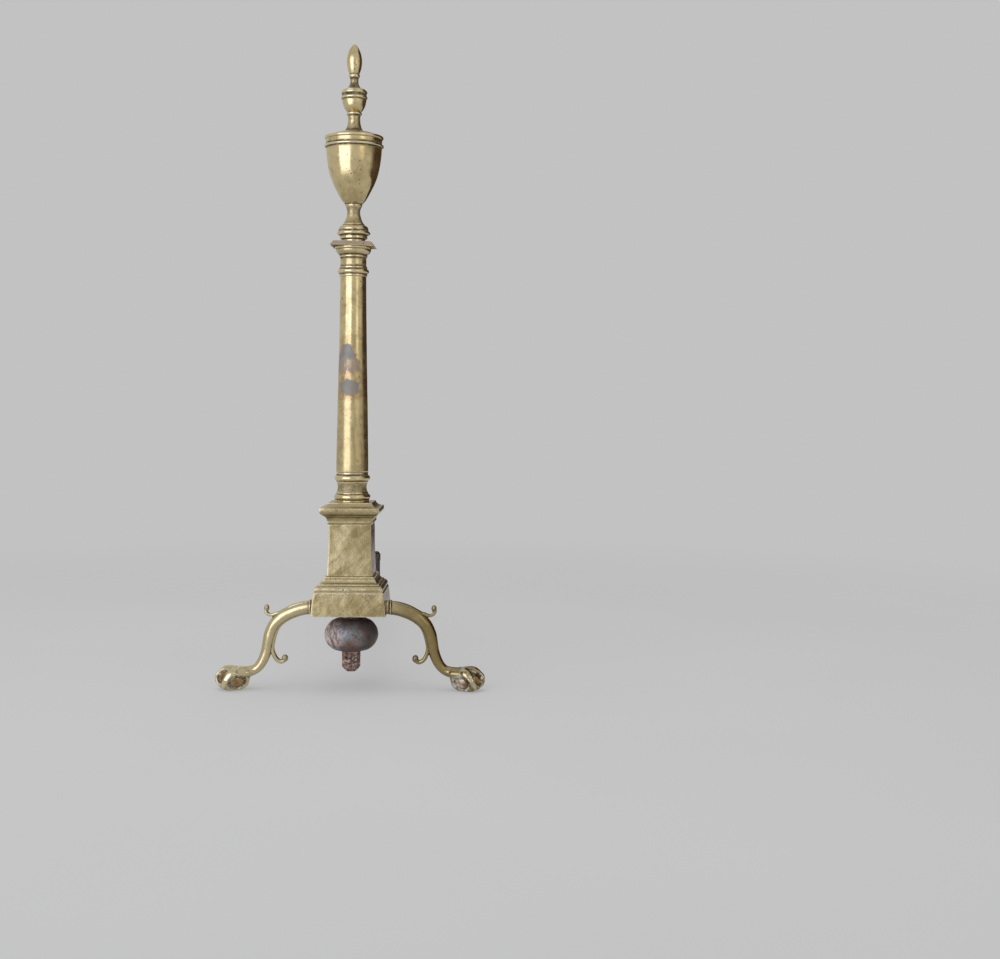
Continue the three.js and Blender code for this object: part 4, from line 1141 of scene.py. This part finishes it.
def along_limb(stations, share):
    """Points that far out of the limb's middle line, in shares of its half thickness,
    negative towards the underside."""
    path, t = limb_path()
    tangent = tangents(path)
    outer = np.stack([-tangent[:, 2], 0 * t, tangent[:, 0]], axis=-1)
    line = path + outer * (between(t, THICKNESS) / 2 * share)[:, None]
    return [(np.interp(u, t, line[:, 0]), np.interp(u, t, line[:, 2])) for u in stations]


def leg_spur(line, thickness, width):
    """A leaf-like spur: flat rings about its own smooth line, rolled up at its end."""
    path = spline(upright(line), 9)
    step = np.linalg.norm(np.diff(path, axis=0), axis=1)
    t = np.concatenate([[0], np.cumsum(step)]) / step.sum()
    return capped(rings_along(path, between(t, thickness), between(t, width), ACROSS, 30,
                              3.0))


def upper_spur():
    """Runs out along the limb's top, leaves it at the knee and rises to a knob."""
    line = along_limb([0.02, 0.10, 0.18, 0.26], 0.84) + [
        (80.2, 83.6), (86.0, 81.6), (90.4, 82.8), (92.3, 86.0), (91.8, 88.4)]
    return leg_spur(line, [(0, 3.0), (0.45, 3.4), (0.62, 3.3), (0.8, 3.4), (1, 4.0)],
                    [(0, 8.4), (0.3, 9.2), (0.6, 7.8), (0.85, 6.6), (1, 5.6)])


def lower_spur():
    """Runs down the limb's inner side, leaves it above the ankle and rises to a knob."""
    line = along_limb([0.03, 0.12, 0.22, 0.32, 0.42, 0.5], -0.86) + [
        (84.8, 45.5), (83.4, 38.9), (80.4, 33.4), (76.0, 30.7), (72.6, 31.6), (71.6, 33.6)]
    return leg_spur(line, [(0, 2.6), (0.4, 3.0), (0.66, 4.0), (0.85, 4.6), (1, 4.8)],
                    [(0, 7.0), (0.3, 8.6), (0.6, 8.4), (0.8, 7.4), (1, 6.4)])


def leg_collar():
    """The round collar against the plinth, with a bead, and the tenon through its wall.

    Formula: a line of (radius, distance out) turned round the leg's root.
    """
    line, _ = worn(outline([
        (0, 28.2), (4.0, 28.2), (4.0, 38.9), (7.6, 38.9), (7.6, 41.6), (6.9, 41.9),
        (6.9, 42.7), (7.5, 43.0), (7.6, 44.8, 0.8), (6.9, 45.1), (6.9, 47.0), (0, 47.0),
    ]), 0.2, 0.4, False)
    line[:, 0] = np.maximum(line[:, 0], 0)
    return shell(revolved(line, 48)[..., [2, 0, 1]] + np.array([0, 0, ROOT_HEIGHT]))


def claw_relief(direction):
    """How far the claw stands off the ball along unit directions, and how far out of the
    nearest window's middle each one is, with 1 at its rim, and how near a talon's crest.

    Formula: with the angle from a pole that leans to the ankle and the turn about it, the
    claw is evenly thick outside four oval windows between the talons, and each talon adds
    a rounded ridge along its own meridian, thicker at its knuckles; a crease runs round
    the ball inside every window.
    """
    up = np.degrees(np.arccos(np.clip(direction @ POLE, -1, 1)))
    turn = np.arctan2(direction[..., 1], direction @ OUTWARD)
    oval = np.full(up.shape, 9.0)
    for centre, half in WINDOWS:
        across = np.degrees(np.angle(np.exp(1j * (turn - math.radians(centre))))) / half
        along = (up - WINDOW_MIDDLE) / WINDOW_HALF
        oval = np.minimum(oval, (np.abs(across) ** 2.4 + np.abs(along) ** 2.4) ** (1 / 2.4))
    open_share = ease(np.clip((1.10 - oval) / 0.2, 0, 1))
    crease = np.exp(-((oval - 0.88) / 0.10) ** 2)
    crest = np.interp(up, [0, 20, 38, 50, 64, 78, 94, 110, 128, 142, 156],
                      [0.3, 0.7, 1.3, 1.7, 1.1, 0.6, 1.25, 0.8, 0.8, 0.5, 0.0])
    half_width = np.interp(up, [0, 25, 50, 95, 130, 150], [5.0, 4.6, 4.2, 3.6, 2.6, 1.8])
    ridge = np.zeros(up.shape)
    for meridian in TALONS:
        offset = np.arcsin(np.clip(np.sin(np.radians(up)) * np.sin(turn - meridian), -1, 1))
        near = np.cos(turn - meridian) > 0
        share = np.clip(1 - (offset * MEAN_BALL_RADIUS / half_width) ** 2, 0, 1) ** 0.75
        ridge = np.maximum(ridge, share * near)
    lift = (CLAW_THICKNESS + crest * ridge) * (1 - open_share) - 0.7 * crease
    return lift, oval, ridge


def claw_and_ball():
    """The ball and the claw over it as one closed surface of two angles, with the toe that
    joins them to the ankle and a tendon for each talon but the one turned to the ankle."""
    ways = sphere(120, 200)
    claw = BALL + ways * (BALL_RADII + claw_relief(ways)[0][..., None])
    toe = np.array([121.5, 0, 18.9]) + ways[::4, ::4] * np.array([17.5, 11.2, 6.4])
    shells = [shell(claw), shell(toe)]
    knuckle = math.radians(40)
    for turn in TALONS[:3]:
        side = math.sin(turn)
        direction = POLE * math.cos(knuckle) + math.sin(knuckle) * (
            OUTWARD * math.cos(turn) + np.array([0, side, 0]))
        path = spline([(112.0, 3.0 * side, 20.4), (119.5, 5.4 * side, 22.4),
                       BALL + direction * (BALL_RADII + 0.9)], 8)
        size = between(np.linspace(0, 1, len(path)), [(0, 3.0), (0.5, 5.0), (1, 5.4)])
        shells.append(capped(rings_along(path, size, size, ACROSS, 20)))
    return shells


def cabriole_leg(side):
    """A whole leg as one skin: collar, limb, two spurs, claw and ball."""
    shells = [leg_limb(), leg_collar(), upper_spur(), lower_spur(), *claw_and_ball()]
    shells += [shell(sphere(20, 32) * radii + centre) for centre, radii in KNOBS]
    flip = np.array([1, 1, 1]) if side == "right" else np.array([-1, -1, 1])
    offset = np.array([AXIS[0], LEG_PLANE, 0.0])
    obj = blended(f"{side}_cabriole",
                  [(points * flip * MM + offset, faces) for points, faces in shells],
                  metal(cast_brass, "leg_brass", pitted=0.35, foot=True),
                  sizes().leg_grain, 5)
    points, bend = surface_bend(obj.data, 2)
    set_marks(obj.data, leg_marks((points - offset) * flip / MM, bend))
    low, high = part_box(f"{side}_leg")
    points[:, 2] = np.maximum(points[:, 2], 0)
    points[:, 0] = np.clip(points[:, 0], low.x, high.x)
    move_points(obj.data, points)
    return place(obj, f"{side}_leg", "cast_brass")


def leg_marks(points, bend):
    """Marks over a leg's own points: worn edges and talon crests, painted bright as
    highlights;
    dark grooves, also round the windows and under the knobs, of blackened polish and painted
    shade; the ball inside the windows and the windows' rims."""
    from_ball = (points - BALL) / BALL_RADII
    swell = np.linalg.norm(from_ball, axis=1)
    _, oval, crest = claw_relief(from_ball / np.maximum(swell, 1e-6)[:, None])
    near = np.clip((points[:, 0] - 106) / 6, 0, 1) * (swell < 1.35)
    # talon crests marked as edges: painted highlights
    crests = 0.45 * np.clip(crest * 2.2 - 1.2, 0, 1) * near * (swell > 1.05)
    crests = crests * np.clip((oval - 1.0) / 0.15, 0, 1)
    # grooves, window creases and under the knobs: blackened polish and painted shade
    groove = np.clip(-bend / 0.5, 0, 1)
    groove += 1.5 * np.clip(1 - np.abs(oval - 0.86) / 0.2, 0, 1) * near * (swell < 1.12)
    for centre, radii in KNOBS:
        away = np.linalg.norm(points - centre, axis=1)
        groove += 0.6 * np.clip(1.5 - away / radii[2], 0, 1)
    return {
        "edge": np.maximum(np.clip((bend - 0.5) / 0.9, 0, 1), crests),
        "groove": np.clip(groove, 0, 1),
        "ball": np.clip((0.84 - oval) / 0.12, 0, 1) * near,
        "rim": np.clip(1 - np.abs(oval - 0.96) / 0.22, 0, 1) * near,
    }


class ANDIRON_OT_legs(bpy.types.Operator):
    """Casts the two cabriole legs on their claw-and-ball feet"""

    bl_idname = "andiron.legs"
    bl_label = "Legs"

    def execute(self, context):
        for side in ("left", "right"):
            cabriole_leg(side)
        return {"FINISHED"}


# ------------------------------------------------------------------ iron


BAR_HEIGHT = 82.7  # of the bar's middle line above the floor
REAR_LEG_AT = 565.0  # behind the column's axis
STOP_AT = 96.0
SIDEWAYS = (1, 0, 0)


def along_bar(points):
    """From the bar's own line, x right and y back in mm, to its place in the frame."""
    cos, sin = math.cos(BAR_SKEW), math.sin(BAR_SKEW)
    x, y, z = points[..., 0], points[..., 1], points[..., 2]
    placed = np.stack([x * cos - y * sin, x * sin + y * cos, z], axis=-1) * MM
    return placed + np.array([*AXIS, 0.0])


def forged(name, node, shells, grain):
    """Iron drawn out under the hammer: one skin with low random hills."""
    obj = blended(name, [(along_bar(points), faces) for points, faces in shells],
                  metal(wrought_iron, "sooty_iron", rusty=0.3), grain, 3)
    points, bend = surface_bend(obj.data)
    low = hills(points / MM, 13.0, 1.0) + 0.5 * hills(points / MM, 5.0, 4.0) - 1.5
    normals = read(obj.data.vertices, "normal")
    points += normals * low[:, None] * sizes().forge_ripple * 0.5
    move_points(obj.data, np.clip(points, *(np.array(end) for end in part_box(node))))
    set_marks(obj.data, edge_marks(bend, 0.5, 0.7))
    return place(obj, node, "wrought_iron")


def rivet_head(radius, shank, reach):
    """Rings of a peened head on a round shank, standing along +Z from 0."""
    height = 2.3
    return revolved(outline([(0, -reach), (shank, -reach), (shank, 0), (radius, 0),
                             (0, height, height * 0.55)]), 32)


class ANDIRON_OT_ball(bpy.types.Operator):
    """Forges the iron ball, slotted for the post"""

    bl_idname = "andiron.ball"
    bl_label = "Iron ball"

    def execute(self, context):
        iron = metal(ball_iron, "ball_iron")
        slot = block("slot", (-11.0, -4.8, -10.0), (11.0, 4.8, 50.0),
                     lambda points: points * MM + middle("drop_ball"), iron)
        carve(turned("iron_ball", "drop_ball", [
            (0, 0), (12.6, 0),
            [(20.5, 2.3), (26.2, 7.4), (29.3, 14.0), (29.6, 19.5), (27.6, 26.0),
             (23.0, 31.8), (17.6, 34.8)],
            (0, 34.9),
        ], 0.7, 110, iron, "dark_iron", arris=0.6, ripple=0.16, closed=False), slot)
        return {"FINISHED"}


class ANDIRON_OT_iron_frame(bpy.types.Operator):
    """Forges the post with its rod, the billet bar, the rear leg and the log stop"""

    bl_idname = "andiron.iron_frame"
    bl_label = "Iron frame"

    def execute(self, context):
        self.tie_rod()
        self.bar()
        self.rear_leg()
        self.log_stop()
        return {"FINISHED"}

    def tie_rod(self):
        """A flat post with a chamfered end below, drawn out to a round rod above."""
        low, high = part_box("tie_rod")
        bottom, top = low.z / MM, high.z / MM
        z = np.concatenate([np.linspace(bottom, bottom + 5.6, 9),
                            np.linspace(bottom + 6.4, 98.4, 90),
                            np.linspace(98.9, top, 60)])
        chamfer = np.clip((z - bottom) / 5.6, 0, 1)
        flat = z < 98.6
        rings = post(z, np.where(flat, 4.3 + 6.3 * chamfer ** 0.8, 4.0),
                     np.where(flat, 3.3 + 1.1 * np.minimum(1, chamfer * 2), 4.0),
                     np.where(flat, 7.0, 2.0)[:, None])
        away = hills(rings, 6.0, 8.0) + 0.6 * hills(rings, 2.4, 2.0) - 1.6
        rings[..., :2] *= (1 + 0.035 * away * flat[:, None])[..., None]
        points, faces = capped(rings)
        centre = middle("tie_rod") * (1, 1, 0)
        mesh = make_mesh("post_and_rod", points * MM + centre, faces)
        weld(mesh)
        set_marks(mesh, edge_marks(surface_bend(mesh, 2)[1], 0.5, 0.7))
        place(show(mesh, metal(wrought_iron, "forged_iron")), "tie_rod", "wrought_iron")

    def bar(self):
        """A flat-topped bar, drawn narrower at its rear, with its tenon riveted over in
        front of the post."""
        y = np.linspace(5.2, 573.8, 300)
        drawn = np.clip((y - 380) / 180, 0, 1)
        path = np.stack([-1.6 * drawn, y, BAR_HEIGHT + 0 * y], axis=-1)
        body = rings_along(path, 12 + 0 * y, 19 - 3.6 * drawn, SIDEWAYS, 56, 9.0)
        head = rivet_head(5.5, 4.0, 11.0)[..., [0, 2, 1]] * (1, -1, 1)
        head = head + (0, -5.0, BAR_HEIGHT)
        forged("bar", "billet_bar", [capped(body), shell(head)], sizes().forge_grain)

    def rear_leg(self):
        """A leg that curves back to a foot, riveted through the bar."""
        top = 76.3
        line = spline([(0, top), (0.4, top * 0.78), (3.2, top * 0.55), (7.4, top * 0.34),
                       (9.0, 16.0), (9.0, 7.0)], 12)[::-1]
        x, y = 0 * line[:, 0] - 1.8, REAR_LEG_AT + line[:, 0]
        path = np.stack([x, y, line[:, 1]], axis=-1)
        depth = between(np.linspace(0, 1, len(path)),
                        [(0, 22.0), (0.12, 12.6), (0.3, 11.8), (1, 12.0)])
        z = np.concatenate([[0.0, 0.4], np.linspace(1.0, 6.4, 8), [7.0]])
        reach = np.interp(z, [0, 0.4, 3.5, 7.0], [14.2, 14.8, 14.8, 9.0])
        foot = post(z, 9.4 + 0 * z, reach, 8.0) + (0, REAR_LEG_AT + 9.0, 0)
        forged("back_leg", "rear_leg", [
            capped(rings_along(path, depth, 15.0 + 0 * depth, SIDEWAYS, 56, 6.0)),
            capped(foot), shell(rivet_head(5.4, 3.6, 14.0) + (0, REAR_LEG_AT, 89.5)),
        ], 0.7 * MM)

    def log_stop(self):
        """A short waisted upright with a round top, riveted through the bar."""
        bottom, shoulder, dome = 89.0, 131.5, 7.5
        z = np.concatenate([np.linspace(bottom, shoulder, 40),
                            shoulder + 7.45 * np.sin(np.linspace(0.05, math.pi / 2, 24))])
        rise = np.clip((z - bottom) / (shoulder - bottom), 0, 1)
        half = 7.4 - 2.6 * np.sin(math.pi * rise) ** 1.3
        cap = np.sqrt(np.maximum(0, 1 - (np.maximum(0, z - shoulder) / dome) ** 2))
        upright_part = post(z, np.maximum(half * cap, 0.6),
                            3.9 * np.maximum(cap, 0.35) ** 0.3, 7.0) + (0, STOP_AT, 0)
        head = rivet_head(5.4, 3.2, 14.0) * (1, 1, -1) + (0, STOP_AT, 76.2)
        forged("stop", "log_stop", [capped(upright_part), shell(head)], 0.6 * MM)


class ANDIRON_OT_fittings(bpy.types.Operator):
    """Gives the clamp plate and the nuts inside the plinth their iron"""

    bl_idname = "andiron.fittings"
    bl_label = "Hidden fittings"

    def execute(self, context):
        iron = metal(wrought_iron, "fitting_iron", rusty=0.7)
        for name in ("clamp_plate", "left_leg_nut", "right_leg_nut"):
            node = bpy.data.objects.get(name)
            if node is None or not node.material_slots:
                raise RuntimeError(f"the frame has no {name} with a material slot")
            for slot in node.material_slots:
                slot.material = iron
        return {"FINISHED"}


# ------------------------------------------------------------------ stage


class ANDIRON_OT_stage(bpy.types.Operator):
    """Lays the floor, and sets the lamps, the world and the camera"""

    bl_idname = "andiron.stage"
    bl_label = "Stage"

    def execute(self, context):
        self.floor()
        self.lamps()
        self.card()
        self.world()
        self.camera()
        bpy.context.scene.view_settings.view_transform = "Standard"
        return {"FINISHED"}

    def floor(self):
        """A flat disc of rings about the andiron, which fades into the backdrop: it keeps
        the shadows, and is half lit by itself where it is seen."""
        s = studio()
        radius = np.concatenate([[0.0], np.geomspace(0.05, s.floor_radius, 24)])
        disc = revolved(np.stack([radius, 0 * radius - 0.2 * MM], axis=1), 96)
        points, faces = shell(disc)
        mesh = make_mesh("floor", points, faces[:, ::-1])
        weld(mesh)
        n = Nodes("floor")
        length = n.add("ShaderNodeVectorMath", {0: n.place}, operation="LENGTH")
        gone = n.band(length.outputs["Value"], 0.22 * s.floor_radius, 0.97 * s.floor_radius)
        tone = n.mix(n.band(n.noise(3.0, 3, 0.5), 0.3, 0.7),
                     *([share * c for c in s.floor] for share in (0.985, 1.015)))
        ray = n.add("ShaderNodeLightPath").outputs
        seen = n.most(*(ray[f"Is {kind} Ray"] for kind in ("Camera", "Glossy",
                                                          "Transmission")))
        pale = n.either(n.times(seen, 0.5), n.add("ShaderNodeBsdfDiffuse", {"Color": tone}),
                        n.add("ShaderNodeEmission", {"Color": s.backdrop}))
        show(mesh, n.output(
            n.either(gone, pale, n.add("ShaderNodeBsdfTransparent"))))

    def lamps(self):
        """Soft lamps at a turn from the front in degrees, aimed at half height."""
        s = studio()
        aim = np.array([*AXIS, 0.36])
        for name, power, colour, turn, distance, height, wide, tall in (
            ("key", s.key_power, (0.93, 0.97, 1.16), -34.0, 2.1, 0.66, 1.9, 2.1),
            ("top", s.top_power, (1.0, 1.0, 1.0), -40.0, 0.35, 2.3, 1.7, 1.7),
            ("fill", s.fill_power, (1.0, 0.87, 0.66), 41.0, 1.9, 0.88, 0.6, 0.9),
        ):
            lamp = bpy.data.lights.new(name, "AREA")
            lamp.shape = "RECTANGLE"
            lamp.size, lamp.size_y = wide, tall
            lamp.energy, lamp.color = power, colour
            obj = bpy.data.objects.new(name, lamp)
            bpy.context.scene.collection.objects.link(obj)
            turn, rise = math.radians(turn), height - aim[2]
            obj.location = aim + (distance * math.sin(turn), -distance * math.cos(turn),
                                  rise)
            obj.rotation_euler = (math.atan2(distance, rise), 0, turn)
            obj.visible_camera = False
            obj.visible_glossy = name != "top"

    def card(self):
        """A dark card that stands round the right rear, for the metal to mirror.

        Formula: points on an upright cylinder about the column, between two turns from
        the front in degrees, with a cover that fades out at both ends.
        """
        first, last, away, height = 78.0, 190.0, 1.7, 2.3
        degrees = np.linspace(first, last, 40)[None, :]
        turn, z = np.radians(degrees), np.linspace(0.0, height, 12)[:, None]
        points = np.stack([AXIS[0] + away * np.sin(turn) + 0 * z,
                           AXIS[1] - away * np.cos(turn) + 0 * z, z + 0 * turn], axis=-1)
        share = np.clip(np.minimum((degrees - first) / 20, (last - degrees) / 16), 0, 1)
        mesh = make_mesh("card", points.reshape(-1, 3), grid_faces(12, 40, False, False),
                         {"cover": share + 0 * z})
        n = Nodes("card")
        obj = show(mesh, n.output(n.either(
            n.mark("cover"), n.add("ShaderNodeBsdfTransparent"),
            n.add("ShaderNodeBsdfDiffuse", {"Color": CARD_BROWN}))))
        obj.visible_camera = obj.visible_diffuse = obj.visible_shadow = False

    def world(self):
        world = bpy.data.worlds.new("studio")
        bpy.context.scene.world = world
        world.use_nodes = True
        background = world.node_tree.nodes["Background"]
        background.inputs["Color"].default_value = (*studio().backdrop, 1.0)
        background.inputs["Strength"].default_value = 1.0

    def camera(self):
        s = studio()
        data = bpy.data.cameras.new("camera")
        camera = bpy.data.objects.new("camera", data)
        bpy.context.scene.collection.objects.link(camera)
        data.sensor_width = 36.0
        data.lens = 52.56
        data.shift_y = -0.0789
        data.clip_start = 0.05
        camera.location = (AXIS[0] + s.camera_side, AXIS[1] - s.camera_distance,
                           s.camera_height)
        camera.rotation_euler = (math.radians(90), math.radians(-0.306), 0)
        bpy.context.scene.camera = camera


OPERATORS = (
    ANDIRON_OT_finial, ANDIRON_OT_urn, ANDIRON_OT_capital, ANDIRON_OT_column,
    ANDIRON_OT_plinth, ANDIRON_OT_legs, ANDIRON_OT_ball, ANDIRON_OT_iron_frame,
    ANDIRON_OT_fittings, ANDIRON_OT_stage,
)

GROUPS = (
    ("andiron_sizes", AndironSizes),
    ("andiron_metals", AndironMetals),
    ("andiron_studio", AndironStudio),
)


class ANDIRON_PT_panel(bpy.types.Panel):
    """The andiron's pieces and settings"""

    bl_idname = "ANDIRON_PT_panel"
    bl_label = "Andiron"
    bl_space_type = "VIEW_3D"
    bl_region_type = "UI"
    bl_category = "Andiron"

    def draw(self, context):
        column = self.layout.column(align=True)
        for operator in OPERATORS:
            column.operator(operator.bl_idname)
        for name, group in GROUPS:
            box = self.layout.box()
            for setting in group.__annotations__:
                box.prop(getattr(context.scene, name), setting)


def register():
    for name, group in GROUPS:
        bpy.utils.register_class(group)
        setattr(bpy.types.Scene, name, bpy.props.PointerProperty(type=group))
    for kind in (*OPERATORS, ANDIRON_PT_panel):
        bpy.utils.register_class(kind)


def unregister():
    for kind in (ANDIRON_PT_panel, *reversed(OPERATORS)):
        bpy.utils.unregister_class(kind)
    for name, group in reversed(GROUPS):
        delattr(bpy.types.Scene, name)
        bpy.utils.unregister_class(group)


def main():
    register()
    bpy.ops.andiron.finial()
    bpy.ops.andiron.urn()
    bpy.ops.andiron.capital()
    bpy.ops.andiron.column()
    bpy.ops.andiron.plinth()
    bpy.ops.andiron.legs()
    bpy.ops.andiron.ball()
    bpy.ops.andiron.iron_frame()
    bpy.ops.andiron.fittings()
    bpy.ops.andiron.stage()


if __name__ == "__main__":
    main()
